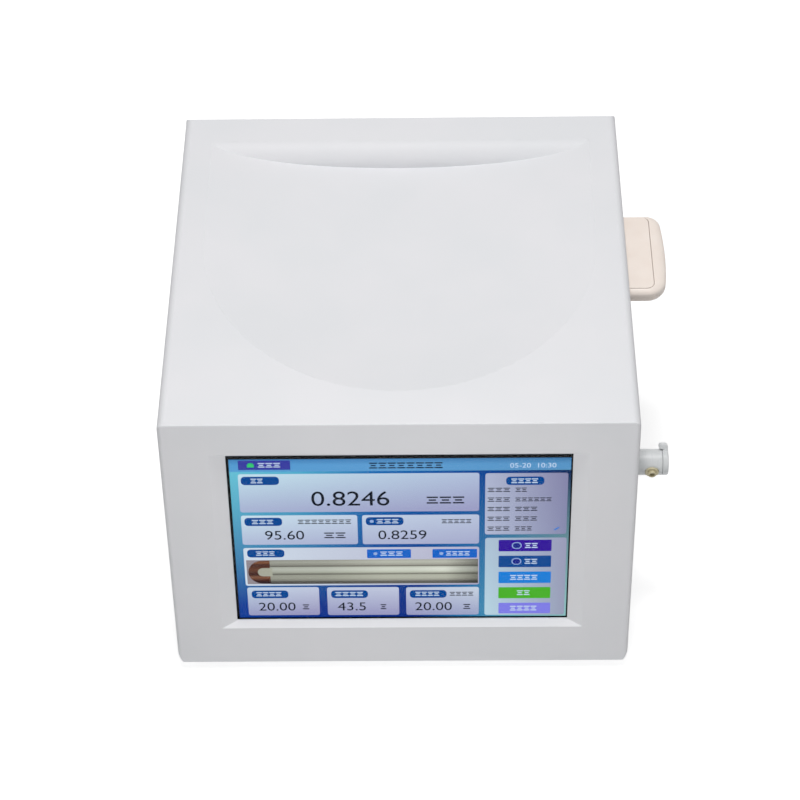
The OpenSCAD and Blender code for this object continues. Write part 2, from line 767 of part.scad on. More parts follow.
module at_posts() for (x = [sink_left + 6, sink_right - 11], y = [-1, 1])
  translate([x, cell_y + y * (sink_d / 2 - 6), floor_z]) children();

module cell_posts() color(c_alu) at_posts() cylinder(h = post_h, r = post_r, $fn = 32);

module cell_dampers() color(c_rubber) at_posts() translate([0, 0, post_h]) cylinder(h = damper_h, r = damper_r, $fn = 32);

module heat_sink() color(c_alu) {
  box(sink_left, cell_y - sink_d / 2, sink_z, sink_right, cell_y + sink_d / 2, sink_z + sink_base_t);
  for (i = [0 : 11])
    let (x = sink_left + 14 + i * (sink_right - sink_left - 36) / 11)
      box(x, cell_y - sink_d / 2, sink_z - sink_fin_h, x + 2, cell_y + sink_d / 2, sink_z + 0.5);
}

module peltier_modules() color([0.93, 0.93, 0.90])
  for (x = [0.27, 0.73])
    translate([block_left + x * block_len - peltier_side / 2, cell_y - peltier_side / 2, sink_z + sink_base_t])
      cube([peltier_side, peltier_side, peltier_t]);

module at_legs() for (s = [-1, 1]) translate([0, cell_y + s * leg_gap / 2, tube_z]) children();

module cell_block() color(c_alu) difference() {
  box(block_left, cell_y - block_d / 2, block_z, block_right, cell_y + block_d / 2, cover_z);
  box(cavity_left, cell_y - block_d / 2 + block_wall, block_z + block_wall,
      cavity_right, cell_y + block_d / 2 - block_wall, cover_z + 1);
  for (s = [-1, 1])
    rod_x(cavity_right - 1, block_right + 1, cell_y + s * leg_gap / 2, tube_z, tube_r + 1);
}

module cell_jacket() color(c_foam) difference() {
  box(block_left - jacket_t, cell_y - block_d / 2 - jacket_t, sink_z + sink_base_t,
      block_right + jacket_t - 3, cell_y + block_d / 2 + jacket_t, cover_z);
  box(block_left - fit, cell_y - block_d / 2 - fit, sink_z, block_right + fit, cell_y + block_d / 2 + fit, cover_z + 1);
  for (s = [-1, 1])
    rod_x(block_right - 1, block_right + jacket_t, cell_y + s * leg_gap / 2, tube_z, tube_r + 1);
}

module cell_cover() color(c_alu) difference() {
  box(block_left, cell_y - block_d / 2, cover_z, block_right, cell_y + block_d / 2, hood_z);
  box(window_left, cell_y - window_w / 2, cover_z - 1, window_right, cell_y + window_w / 2, hood_z + 1);
  box(window_left - 3, cell_y - window_w / 2 - 3, hood_z - 2, window_right + 3, cell_y + window_w / 2 + 3, hood_z + 1);
}

module cell_window() color(c_glass)
  box(window_left - 2.8, cell_y - window_w / 2 - 2.8, hood_z - 2, window_right + 2.8, cell_y + window_w / 2 + 2.8, hood_z);

module tube_seat() color(c_steel) difference() {
  box(cavity_right - seat_len, cell_y - block_d / 2 + block_wall + fit, block_z + block_wall,
      cavity_right, cell_y + block_d / 2 - block_wall - fit, tube_z + 6);
  for (s = [-1, 1])
    rod_x(cavity_right - seat_len - 1, cavity_right + 1, cell_y + s * leg_gap / 2, tube_z, tube_r + run);
}

// The oscillating tube: two legs and a half-turn bend
module u_tube() color(c_glass) difference() {
  u_rod(tube_r, 0);
  u_rod(tube_bore, 1);
}

module u_rod(r, over) {
  for (s = [-1, 1]) rod_x(bend_x, leg_end_x + over, cell_y + s * bend_r, tube_z, r, 32);
  translate([bend_x, cell_y, tube_z]) rotate([0, 0, 90]) rotate_extrude(angle = 180, $fn = 64)
    translate([bend_r, 0]) circle(r = r, $fn = 32);
}

module tube_magnet() color(c_steel)
  rod_x(bend_x - bend_r - tube_r - 0.2 - magnet_t, bend_x - bend_r - tube_r - 0.2, cell_y, tube_z, 2.5, 32);

module drive_coil() color([0.72, 0.45, 0.20]) difference() {
  union() {
    rod_x(cavity_left, bend_x - bend_r - tube_r - magnet_t - 1, cell_y, tube_z, 4.5);
    box(cavity_left, cell_y - 5, block_z + block_wall, cavity_left + 1.5, cell_y + 5, tube_z + 5);
  }
  rod_x(cavity_left + 2, cavity_right, cell_y, tube_z, 1.5, 24);
}

hood_left = window_left - 4;
hood_right = window_right + 4;
hood_d = window_w + 12;
lens_r = 6;
lens_len = 12;

module camera_hood() color(c_black) difference() {
  box(hood_left, cell_y - hood_d / 2, hood_z, hood_right, cell_y + hood_d / 2, hood_z + hood_h);
  box(hood_left + 2, cell_y - hood_d / 2 + 2, hood_z - 1, hood_right - 2, cell_y + hood_d / 2 - 2, hood_z + hood_h - 2);
  rod_z(hood_z, hood_z + hood_h + 1, (hood_left + hood_right) / 2, cell_y, lens_r + fit);
}

module camera_board() color(c_board)
  translate([(hood_left + hood_right) / 2 - 15, cell_y - 15, hood_z + hood_h]) cube([30, 30, 1.6]);

module camera_lens() color(c_black) difference() {
  rod_z(hood_z + hood_h - lens_len, hood_z + hood_h, (hood_left + hood_right) / 2, cell_y, lens_r);
  rod_z(hood_z + hood_h - lens_len - 1, hood_z + hood_h - lens_len + 2, (hood_left + hood_right) / 2, cell_y, lens_r - 1.5);
}

module cell_light() color([0.95, 0.95, 0.85]) difference() {
  box(hood_left + 6, cell_y + hood_d / 2 - 3.6, hood_z + 10, hood_right - 6, cell_y + hood_d / 2 - 2, hood_z + 18);
}

// ---------------------------------------------------------------- pumps and hoses

module pump_bracket() color(c_zinc) difference() {
  union() {
    box(pump_x - head_r, pump_y, floor_z, pump_x + head_r, pump_y + plate_bt, pump_z + head_r);
    box(pump_x - head_r, pump_y, floor_z, pump_x + head_r, pump_y + 30, floor_z + plate_bt);
  }
  rod_y(pump_y - 1, pump_y + plate_bt + 1, pump_x, pump_z, shaft_r + slip, 32);
}

module pump_motor() color(c_steel) {
  rod_y(pump_y + plate_bt, pump_y + plate_bt + motor_len, pump_x, pump_z, motor_r, 48);
  rod_y(pump_y + plate_bt + motor_len - 1, pump_y + plate_bt + motor_len + 3, pump_x, pump_z, 4, 32);
}

// Track of the hose pump: a ring that is open at the bottom, with a back wall
module pump_head() color(c_black) difference() {
  rod_y(pump_y - pump_head_t, pump_y, pump_x, pump_z, head_r, 64);
  rod_y(pump_y - pump_head_t - 1, pump_y - 3, pump_x, pump_z, track_r, 64);
  box(pump_x - track_r, pump_y - pump_head_t - 1, pump_z - head_r - 1, pump_x + track_r, pump_y - 3, pump_z);
  rod_y(pump_y - 4, pump_y + 1, pump_x, pump_z, shaft_r + slip, 32);
}

function roller_at(i) = [roller_orbit * cos(90 + 120 * i), roller_orbit * sin(90 + 120 * i)];

// Rotor on the motor shaft, with three roller pins between two cheeks
module pump_rotor() color(c_port) {
  for (y = [pump_y - 5.4, pump_y - 7.4 - roller_len - 2 * slip])
    difference() {
      rod_y(y, y + 2, pump_x, pump_z, roller_orbit + 2.2, 48);
    }
  rod_y(pump_y - 7.4 - roller_len, pump_y + plate_bt - 0.2, pump_x, pump_z, shaft_r, 32);
  rod_y(pump_y - 7 - roller_len, pump_y - 5, pump_x, pump_z, 4, 32);
  for (i = [0 : 2])
    rod_y(pump_y - 7 - roller_len - 1, pump_y - 5, pump_x + roller_at(i)[0], pump_z + roller_at(i)[1], roller_pin_r, 32);
}

module pump_roller(i) color(c_alu) difference() {
  rod_y(pump_y - 5.6 - roller_len, pump_y - 5.6, pump_x + roller_at(i)[0], pump_z + roller_at(i)[1], roller_r, 48);
  rod_y(pump_y - 6 - roller_len - 1, pump_y - 5, pump_x + roller_at(i)[0], pump_z + roller_at(i)[1], roller_pin_r + run, 32);
}

module pump_roller_1() pump_roller(0);
module pump_roller_2() pump_roller(1);
module pump_roller_3() pump_roller(2);

air_top = floor_z + air_h;

module air_pump() color(c_black) {
  box(air_x, air_y, floor_z, air_x + air_w, air_y + 20, air_top);
  rod_y(air_y + 19, air_y + air_d, air_x + air_w / 2, floor_z + air_h / 2, air_h / 2);
  for (x = [8, air_w - 8]) rod_z(air_top - 1, air_top + 5, air_x + x, air_y + 8, nipple_r, 24);
}

leg_y = [cell_y - leg_gap / 2, cell_y + leg_gap / 2];
pump_hose_r = 1.2;
hose_mid_y = pump_y - 3 - roller_len / 2 - 2.6;
nip_x = side_x - neck_len - nipple_len;

// Sample hose from the port to the tube, pump hose round the rollers, and waste hose
module liquid_hoses() color(c_hose) {
  hose([[nip_x, port_y, port_z - nipple_gap], [nip_x - 8, port_y, port_z - nipple_gap],
        [nip_x - 12, port_y - 8, port_z - 10], [nip_x - 5, port_y - 14, port_z - 26],
        [nip_x + 8, port_y - 10, tube_z + 6], [leg_end_x + 16, leg_y[0] - 10, tube_z],
        [leg_end_x + 10, leg_y[0], tube_z], [leg_end_x, leg_y[0], tube_z]], hose_r, [0.25, 0.35, 0.90]);
  hose(concat([[leg_end_x, leg_y[1], tube_z], [leg_end_x + 9, leg_y[1], tube_z],
        [leg_end_x + 14, leg_y[1] + 12, tube_z - 6], [leg_end_x + 8, hose_mid_y - 50, pump_z - 8],
        [pump_x + track_r + 2, hose_mid_y - 16, pump_z - head_r - 6],
        [pump_x + track_r - hose_r - 0.3, hose_mid_y - 2, pump_z - head_r + 2]],
        [for (a = [0 : 22.5 : 180]) [pump_x + (track_r - 1.4) * cos(a), hose_mid_y, pump_z + (track_r - 1.4) * sin(a)]],
        [[pump_x - track_r + hose_r + 0.3, hose_mid_y, pump_z - 14],
         [pump_x - head_r - 5, hose_mid_y + 2, pump_z - head_r - 4],
         [pump_x - head_r - 8, pump_y + 10, floor_z + 10],
         [pump_x - head_r - 3, pump_y + 38, floor_z + 8], [pump_x + 4, pump_y + 60, floor_z + 14],
         [waste_x - 3, panel_in_y - 30, waste_z - 6],
         [waste_x, panel_in_y - 20, waste_z], [waste_x, panel_in_y - 14, waste_z]]),
        pump_hose_r, [0.10, 0.97, 0.20]);
}

// Dry air: filter box to air pump, air pump to port
module air_hoses() color([0.80, 0.88, 0.92]) {
  hose([[side_x - wall - 6, box_y, box_z + box_half], [side_x - 20, box_y, box_z + box_half],
        [side_x - 50, box_y + 6, box_z - 10], [side_x - 105, box_y + 8, box_z - 40],
        [air_x + air_w, box_y + 6, 100], [air_x + air_w - 8, air_y + 8, 70],
        [air_x + air_w - 8, air_y + 8, air_top + 14], [air_x + air_w - 8, air_y + 8, air_top + 5]],
       hose_r, [0.05, 0.95, 0.10]);
  hose([[air_x + 8, air_y + 8, air_top + 5], [air_x + 8, air_y + 8, air_top + 16],
        [air_x + 8, air_y - 10, 90], [air_x + 20, air_y - 60, 130],
        [nip_x - 60, port_y + 50, 145], [nip_x - 26, port_y + 14, port_z + 12],
        [nip_x - 10, port_y, port_z + nipple_gap], [nip_x, port_y, port_z + nipple_gap]],
       hose_r, [0.10, 0.10, -0.99]);
}

// ---------------------------------------------------------------- fan

module fan_frame() color(c_black) {
  difference() {
    box(fan_x - fan_side / 2, fan_y, fan_z - fan_side / 2, fan_x + fan_side / 2, panel_in_y, fan_z + fan_side / 2);
    rod_y(fan_y - 1, panel_in_y + 1, fan_x, fan_z, fan_bore, 96);
    for (x = [-1, 1], z = [-1, 1])
      rod_y(panel_in_y - 8, panel_in_y + 1, fan_x + x * (fan_side / 2 - 5), fan_z + z * (fan_side / 2 - 5), 1.85);
  }
  // motor seat on three spokes, with the shaft that the rotor turns on
  rod_y(fan_y, fan_y + 2.5, fan_x, fan_z, hub_r, 64);
  rod_y(fan_y + 1, panel_in_y - 3, fan_x, fan_z, fan_shaft_r, 32);
  for (a = [90, 210, 330])
    translate([fan_x, fan_y, fan_z]) rotate([0, a, 0]) translate([hub_r - 1, 0, -1.5]) cube([fan_bore - hub_r + 1.5, 2.5, 3]);
}

module fan_rotor() color([0.16, 0.16, 0.17]) difference() {
  union() {
    rod_y(fan_y + 3, panel_in_y - 1.5, fan_x, fan_z, hub_r, 64);
    for (a = [0 : 360 / 7 : 359])
      translate([fan_x, (fan_y + 3 + panel_in_y - 1.5) / 2, fan_z]) rotate([0, a, 0])
        translate([hub_r - 1, 0, 0]) rotate([38, 0, 0])
          translate([0, -(fan_t - 6) / 2 - 0.4, -0.6]) cube([fan_bore - hub_r - 0.6, fan_t - 5.2, 1.2]);
  }
  rod_y(fan_y, panel_in_y - 2.5, fan_x, fan_z, fan_shaft_r + run, 32);
}

// ---------------------------------------------------------------- power and data

module power_supply() color(c_steel) difference() {
  box(psu_x, psu_y, floor_z, psu_x + psu_w, psu_y + psu_d, floor_z + psu_h);
  // terminal step and rows of vents
  box(psu_x - 1, psu_y + psu_d - 12, floor_z + 14, psu_x + psu_w + 1, psu_y + psu_d + 1, floor_z + psu_h + 1);
  for (i = [0 : 7], j = [0 : 4])
    rod_z(floor_z + psu_h - 2, floor_z + psu_h + 1, psu_x + 12 + 8 * i, psu_y + 14 + 14 * j, 2.2, 16);
}

module at_board2_posts() for (x = [5, board2_w - 5], y = [5, board2_d - 5])
  translate([board2_x + x, board2_y + y, 0]) children();

module control_board() color(c_board) {
  box(board2_x, board2_y, floor_z + post2_h, board2_x + board2_w, board2_y + board2_d, floor_z + post2_h + board_t);
  translate([board2_x, board2_y, floor_z + post2_h + board_t - 0.1]) {
    translate([10, 30, 0]) cube([14, 14, 1.8]);
    translate([34, 22, 0]) cube([20, 26, 3]);
    translate([60, 12, 0]) cube([10, 40, 9]);
    for (i = [0 : 3]) translate([14 + 13 * i, 68, 0]) cylinder(h = 11, r = 4, $fn = 32);
  }
}

// Inlet with fuse drawer and rocker in one module: socket low, drawer, rocker high
rocker_z = inlet_z + module_h / 2 - 13;
rocker_h = 20;
rocker_w = 13;
drawer_z = inlet_z + 1.5;
drawer_w = 22;
drawer_h = 7;
drawer_d = 17;
socket_z = inlet_z - module_h / 2 + 13;
module_out_y = panel_out_y + module_rim;

module mains_inlet() color(c_black) {
  difference() {
    union() {
      box(inlet_x0 - module_w / 2, panel_out_y - module_d, inlet_z - module_h / 2,
          inlet_x0 + module_w / 2, panel_out_y + 0.5, inlet_z + module_h / 2);
      pull_y(panel_out_y, module_out_y) polygon(soft_rect(inlet_x0 - module_w / 2 - 2,
        inlet_z - module_h / 2 - 2, inlet_x0 + module_w / 2 + 2, inlet_z + module_h / 2 + 2, 2, 2));
    }
    pull_y(module_out_y - socket_d, module_out_y + 1) polygon([
      [inlet_x0 - socket_w / 2, socket_z - socket_h / 2], [inlet_x0 + socket_w / 2, socket_z - socket_h / 2],
      [inlet_x0 + socket_w / 2, socket_z + socket_h / 2 - 5], [inlet_x0 + socket_w / 2 - 5, socket_z + socket_h / 2],
      [inlet_x0 - socket_w / 2 + 5, socket_z + socket_h / 2], [inlet_x0 - socket_w / 2, socket_z + socket_h / 2 - 5]]);
    box(inlet_x0 - drawer_w / 2 - fit, module_out_y - drawer_d - fit, drawer_z - drawer_h / 2 - fit,
        inlet_x0 + drawer_w / 2 + fit, module_out_y + 1, drawer_z + drawer_h / 2 + fit);
    box(inlet_x0 - rocker_w / 2 - fit, module_out_y - 14, rocker_z - rocker_h / 2 - fit,
        inlet_x0 + rocker_w / 2 + fit, module_out_y + 1, rocker_z + rocker_h / 2 + fit);
    rod_x(inlet_x0 - rocker_w / 2 - 2.5, inlet_x0 + rocker_w / 2 + 2.5, rocker_y, rocker_z, 1.2 + run, 24);
  }
  // the three contact blades
  for (b = [[-7, -1.5], [7, -1.5], [0, 2.5]])
    box(inlet_x0 + b[0] - 1, module_out_y - socket_d - 0.5, socket_z + b[1] - 2,
        inlet_x0 + b[0] + 1, module_out_y - 4.6, socket_z + b[1] + 2);
}

module fuse_drawer() color([0.15, 0.15, 0.16]) difference() {
  union() {
    box(inlet_x0 - drawer_w / 2, module_out_y - drawer_d, drawer_z - drawer_h / 2,
        inlet_x0 + drawer_w / 2, module_out_y, drawer_z + drawer_h / 2);
    box(inlet_x0 - 5, module_out_y - 0.5, drawer_z + drawer_h / 2 - 1.5,
        inlet_x0 + 5, module_out_y + 1, drawer_z + drawer_h / 2);
  }
  // trough for the fuse
  box(inlet_x0 - 10, module_out_y - drawer_d + 2, drawer_z - 2, inlet_x0 + 10, module_out_y - 3, drawer_z + drawer_h);
}

rocker_y = module_out_y - 4;
rocker_tilt = 8;

// Rocker on its two trunnions, stored with its high end pressed
module power_rocker() color([0.12, 0.12, 0.13]) union() {
  rod_x(inlet_x0 - rocker_w / 2 - 2.2, inlet_x0 + rocker_w / 2 + 2.2, rocker_y, rocker_z, 1.2, 24);
  pull_x(inlet_x0 - rocker_w / 2, inlet_x0 + rocker_w / 2)
    translate([rocker_y, rocker_z]) rotate(rocker_tilt)
      polygon([[-7, -3], [-2, -rocker_h / 2 + 2], [4.6, -rocker_h / 2 + 1], [3.2, 0],
               [4.6, rocker_h / 2 - 1], [-2, rocker_h / 2 - 2], [-7, 3]]);
}

// Data sockets on one small board: two flat sockets, one square socket, one nine-pin socket
port_list = [[-34, 13.5, 6.5, 14], [-14, 13.5, 6.5, 14], [8, 16.5, 14, 16], [36, 20, 11, 10]];

module at_ports() for (p = port_list) translate([ports_x + p[0], panel_out_y, ports_z]) {
  $w = p[1];
  $h = p[2];
  $d = p[3];
  children();
}

module port_hole() cube([$w + 2 * fit, 3 * panel_t + 2, $h + 2 * fit], center = true);

module data_ports() color(c_steel) {
  difference() {
    union() {
      at_ports() translate([-$w / 2, -$d, -$h / 2]) cube([$w, $d + 0.8, $h]);
      box(ports_x - 46, panel_in_y - 20, ports_z - 9.6, ports_x + 50, panel_in_y - 0.5, ports_z - 8);
      at_ports() translate([-$w / 2 + 1, -$d, -8.5]) cube([$w - 2, $d - 3.5, 4]);
      for (x = [-46, 46]) translate([ports_x + x, panel_in_y - 9, ports_z - 9]) cube([4, 9, 7]);
    }
    at_ports() translate([-$w / 2 + 0.8, 2 - $d, -$h / 2 + 0.8]) cube([$w - 1.6, $d + 2, $h - 1.6]);
  }
}

// ---------------------------------------------------------------- nodes

housing_shell();
base_plate();
base_screws();
rubber_feet();
foot_screws();
rear_panel();
rear_screws();
waste_spigot();
display_gasket();
touch_glass();
lcd_module();
display_bracket();
bracket_screws();
main_board();
board_standoffs();
display_ribbon();
port_body();
bulkhead_nuts();
port_cap();
inlet_fitting();
filter_base();
filter_cover();
filter_lid();
filter_lid_pin();
filter_pad();
filter_screws();
cell_posts();
cell_dampers();
heat_sink();
peltier_modules();
cell_block();
cell_jacket();
cell_cover();
cell_window();
tube_seat();
u_tube();
tube_magnet();
drive_coil();
camera_hood();
camera_board();
camera_lens();
cell_light();
pump_bracket();
pump_motor();
pump_head();
pump_rotor();
pump_roller_1();
pump_roller_2();
pump_roller_3();
air_pump();
liquid_hoses();
air_hoses();
fan_frame();
fan_rotor();
power_supply();
control_board();
mains_inlet();
fuse_drawer();
power_rocker();
data_ports();
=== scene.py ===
"""Benchtop density meter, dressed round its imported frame.

The frame gives every place and size in metres. This file adds the moulded case with its
scooped top, the lit screen behind its glass, the turned sample port and the filter box, and
gives each piece its material.
"""
import json
import math

import bmesh
import bpy
from bpy.props import (FloatProperty, FloatVectorProperty, IntProperty, PointerProperty,
                       StringProperty)
from mathutils import Matrix, Vector


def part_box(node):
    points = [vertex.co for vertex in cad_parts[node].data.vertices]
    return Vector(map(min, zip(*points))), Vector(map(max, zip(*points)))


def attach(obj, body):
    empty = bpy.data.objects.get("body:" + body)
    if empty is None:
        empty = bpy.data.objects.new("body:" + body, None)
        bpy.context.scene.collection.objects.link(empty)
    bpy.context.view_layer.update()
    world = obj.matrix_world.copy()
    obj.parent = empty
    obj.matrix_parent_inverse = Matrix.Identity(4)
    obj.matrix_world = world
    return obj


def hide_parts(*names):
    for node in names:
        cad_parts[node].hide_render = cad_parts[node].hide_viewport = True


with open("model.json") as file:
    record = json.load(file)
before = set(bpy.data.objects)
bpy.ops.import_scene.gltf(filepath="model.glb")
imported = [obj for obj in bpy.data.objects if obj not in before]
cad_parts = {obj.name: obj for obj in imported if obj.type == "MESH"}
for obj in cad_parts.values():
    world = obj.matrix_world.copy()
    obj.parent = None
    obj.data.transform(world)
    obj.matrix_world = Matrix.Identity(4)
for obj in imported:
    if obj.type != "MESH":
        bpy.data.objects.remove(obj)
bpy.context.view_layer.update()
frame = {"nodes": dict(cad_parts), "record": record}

bl_info = {
    "name": "Benchtop density meter",
    "version": (1, 0, 0),
    "blender": (4, 5, 0),
    "location": "3D View > Sidebar > Density Meter",
    "description": "Builds the case, screen, sample port and filter box of a benchtop density meter",
    "category": "Object",
}

MM = 0.001
X, Y, Z = Vector((1, 0, 0)), Vector((0, 1, 0)), Vector((0, 0, 1))


def corners(node):
    """Lowest and highest corner of a node of the frame."""
    return [Vector(corner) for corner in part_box(node)]


CASE_LOW, CASE_HIGH = corners("housing_shell")
PORT_LOW, PORT_HIGH = corners("port_body")
CAP_HIGH = corners("port_cap")[1]
INLET_LOW, INLET_HIGH = corners("inlet_fitting")
BASE_LOW, BASE_HIGH = corners("filter_base")
COVER_LOW, COVER_HIGH = corners("filter_cover")
LID_LOW, LID_HIGH = corners("filter_lid")
PIN_LOW, PIN_HIGH = corners("filter_lid_pin")
PLATE_LOW, PLATE_HIGH = corners("base_plate")
PLATE_GAP = 0.3 * MM


# ---------------------------------------------------------------- sizes and colours

def length(name, description, default):
    """A size in metres that the sidebar shows as a length."""
    return FloatProperty(name=name, description=description, default=default, min=0.0, unit="LENGTH")


def angle(name, description, default):
    """An angle that is written in degrees here and kept in radians."""
    return FloatProperty(name=name, description=description, default=math.radians(default), unit="ROTATION")


def spot(name, description, default):
    """A place in metres."""
    return FloatVectorProperty(name=name, description=description, default=default, unit="LENGTH")


def amount(name, description, default):
    """A plain number, such as a lamp's power."""
    return FloatProperty(name=name, description=description, default=default, min=0.0)


def shade(name, description, default):
    """A colour as an sRGB hex value."""
    return StringProperty(name=name, description=description, default=default)


class DensityMeterCase(bpy.types.PropertyGroup):
    """Sizes of the moulded case."""
    lean: angle("Lean", "Lean of the front face from upright", 15)
    wall: length("Wall", "Thickness of the moulded wall", 3 * MM)
    top_round: length("Top rounding", "Radius of the edges beside the top", 5 * MM)
    low_round: length("Low rounding", "Radius of the edges beside the underside", 8 * MM)
    front_round: length("Front rounding", "Radius of the edges beside the front face", 3 * MM)
    crease_round: length("Crease rounding", "Radius of the crease and the rear edges", 0.7 * MM)
    scoop_rim: length("Scoop rim", "Radius of the scoop's round rim, seen from above", 130 * MM)
    scoop_depth: length("Scoop depth", "Depth of the scoop", 14 * MM)
    scoop_back: length("Scoop place", "Distance from the crease to the rim's centre", 157 * MM)
    lip_round: length("Lip rounding", "Radius of the rolled lip behind the scoop", 13 * MM)
    strip: length("Rear strip", "Width of the flat strip behind the lip", 23 * MM)
    paint: shade("Case colour", "Colour of the painted case", "#E9E9EC")


class DensityMeterScreen(bpy.types.PropertyGroup):
    """Sizes of the window and the lit picture."""
    width: length("Window width", "Width of the window in the case", 218 * MM)
    top: length("Window top", "Distance from the crease down to the window", 26.5 * MM)
    low: length("Window foot", "Distance from the window down to the foot of the face", 33.5 * MM)
    side_bevel: length("Side bevel", "Width of the sloped frame at the sides", 10 * MM)
    low_bevel: length("Low bevel", "Width of the sloped frame above and below", 3.5 * MM)
    bevel_depth: length("Bevel depth", "Depth of the sloped frame", 4 * MM)
    flare: length("Flare", "How far the sloped frame runs on where it meets the face", 0.8 * MM)
    flare_out: length("Flare reach", "How far the cutter runs out of the face there", 0.5 * MM)
    border: length("Black border", "Black print that shows inside the window", 1.5 * MM)
    glow: amount("Glow", "Strength of the lit picture", 0.92)


class DensityMeterPort(bpy.types.PropertyGroup):
    """Sizes of the sample port."""
    place: length("Place", "Distance from the crease back to the port's axis", 30 * MM)
    radius: length("Radius", "Radius of the barrel and the cap", 8.6 * MM)
    soft: length("Barrel edge", "Soft edge at the barrel's end", 0.25 * MM)
    neck: length("Neck", "Radius of the neck through the wall", 6 * MM)
    neck_run: length("Neck length", "How far the neck reaches into the case", 19 * MM)
    bore: length("Bore", "Radius of the bore that takes the cap's spindle", 4.55 * MM)
    bore_run: length("Bore depth", "Depth of that bore", 14.5 * MM)
    spindle: length("Spindle", "Radius of the cap's spindle", 4.5 * MM)
    spindle_run: length("Spindle length", "How far the spindle reaches into the barrel", 14.2 * MM)
    cap_rim: length("Cap rim", "Radius of the cap's soft rim", 0.9 * MM)
    lug_width: length("Lug width", "Width of the cap's lug", 5.5 * MM)
    lug_reach: length("Lug reach", "How far the lug stands from the axis", 12.5 * MM)
    lug_hook: length("Lug hook", "How far the lug hooks back over the barrel", 2.1 * MM)
    lug_gap: length("Lug gap", "Clearance between the hook and the barrel", 0.75 * MM)
    lug_turn: angle("Lug turn", "How far the lug is turned up from the rear", 55)
    inlet_out: length("Inlet seat", "Distance from the axis to the fitting's seat", 7.9 * MM)
    seat: length("Seat", "Radius of the fitting's seat", 4.7 * MM)


class DensityMeterBox(bpy.types.PropertyGroup):
    """Sizes of the filter box."""
    wall: length("Wall", "Thickness of the wall side and the floor", 1.8 * MM)
    end_wall: length("End wall", "Thickness of the front and rear walls", 3.4 * MM)
    outer_wall: length("Outer wall", "Thickness of the bowed wall at its middle", 5.5 * MM)
    bow: length("Bow", "Radius of the bowed outer side", 260 * MM)
    front_corner: length("Front corner", "Radius of the outer front corner", 12.5 * MM)
    rear_corner: length("Rear corner", "Radius of the outer rear corner", 8.5 * MM)
    base_inset: length("Base inset", "How far the base draws in towards its underside", 5 * MM)
    cover_inset: length("Cover inset", "How far the cover draws in towards its top", 6 * MM)
    seam: length("Seam", "Half of the seam between base and cover", 0.12 * MM)
    lid_corner: length("Lid corner", "Radius of the lid's outer corners", 5 * MM)
    lid_thick: length("Lid thickness", "Thickness of the lid", 2 * MM)
    lid_gap: length("Lid gap", "Gap round the lid", 0.3 * MM)
    hinge: length("Hinge", "Radius of the lid's hinge barrel", 1.7 * MM)
    spigot: length("Spigot", "Radius of the spigot through the wall", 2.9 * MM)
    air_hole: length("Air hole", "Radius of the hole through the spigot", 1.6 * MM)


class DensityMeterStage(bpy.types.PropertyGroup):
    """Camera and lights."""
    camera_place: spot("Camera place", "Where the camera stands", (0.0209, -0.9528, 1.2285))
    pitch: angle("Pitch", "How far the camera looks down", 50.2417)
    yaw: angle("Yaw", "How far the camera turns to the right", -1.3322)
    roll: angle("Roll", "How far the camera is rolled", -1.4243)
    lens: amount("Lens", "Focal length in mm on a 36 mm sensor", 97.25)
    floor_size: length("Floor", "Side of the floor", 8.0)
    floor_glow: amount("Floor glow", "Glow that keeps the floor white to the camera", 0.72)
    world_light: amount("World light", "Strength of the even light", 0.33)
    top_light: amount("Top light", "Power of the light above, in watts", 18.0)
    top_place: spot("Top light place", "Where the light above hangs", (0.0, 0.2, 2.0))
    top_aim: spot("Top light aim", "Where it points", (0.0, -0.05, 0.15))
    top_size: length("Top light size", "Its diameter", 0.4)
    front_light: amount("Front light", "Power of the light in front, in watts", 0.76)
    front_place: spot("Front light place", "Where the light in front hangs", (0.0, -0.55, 0.38))
    front_aim: spot("Front light aim", "Where it points", (0.0, -0.1, 0.1))
    front_size: length("Front light size", "Its diameter", 0.3)


# ---------------------------------------------------------------- small helpers

def linear(hex_colour):
    """sRGB hex value as linear RGBA."""
    parts = [int(hex_colour[i:i + 2], 16) / 255 for i in (1, 3, 5)]
    return [c / 12.92 if c <= 0.04045 else ((c + 0.055) / 1.055) ** 2.4 for c in parts] + [1.0]


def case():
    return bpy.context.scene.density_meter_case


def screen():
    return bpy.context.scene.density_meter_screen


def crease_y():
    """Where the top meets the leaning front."""
    return CASE_LOW.y + (CASE_HIGH.z - CASE_LOW.z) * math.tan(case().lean)


def on_front():
    """The front face's own frame: x across, y the depth behind the face, z up the slope."""
    return Matrix.Translation((0, crease_y(), CASE_HIGH.z)) @ Matrix.Rotation(-case().lean, 4, "X")


def window_height():
    face = (CASE_HIGH.z - CASE_LOW.z) / math.cos(case().lean)
    return face - screen().top - screen().low


def window_middle():
    """Distance from the crease down to the middle of the window."""
    return screen().top + window_height() / 2


def front_span(node):
    """Lowest and highest corner of a node in the front face's frame."""
    inverse = on_front().inverted()
    points = [inverse @ v.co for v in frame["nodes"][node].data.vertices]
    low = Vector([min(p[i] for p in points) for i in range(3)])
    high = Vector([max(p[i] for p in points) for i in range(3)])
    return low, high


# ---------------------------------------------------------------- modelling helpers

def add_block(bm, low, high, place=Matrix.Identity(4)):
    """A block between two corners; returns its vertices."""
    low, high = Vector(low), Vector(high)
    verts = bmesh.ops.create_cube(bm, size=1)["verts"]
    bmesh.ops.scale(bm, vec=high - low, verts=verts)
    bmesh.ops.translate(bm, vec=(low + high) / 2, verts=verts)
    bmesh.ops.transform(bm, matrix=place, verts=verts)
    return verts


def edges_along(verts, direction):
    """Edges of these vertices that run in one direction."""
    edges = {edge for vert in verts for edge in vert.link_edges}
    return [edge for edge in edges
            if abs((edge.verts[0].co - edge.verts[1].co).normalized().dot(direction)) > 0.999]


def only(geometry, kind):
    """The vertices or edges among what an operator returned."""
    return [item for item in geometry if isinstance(item, kind)]


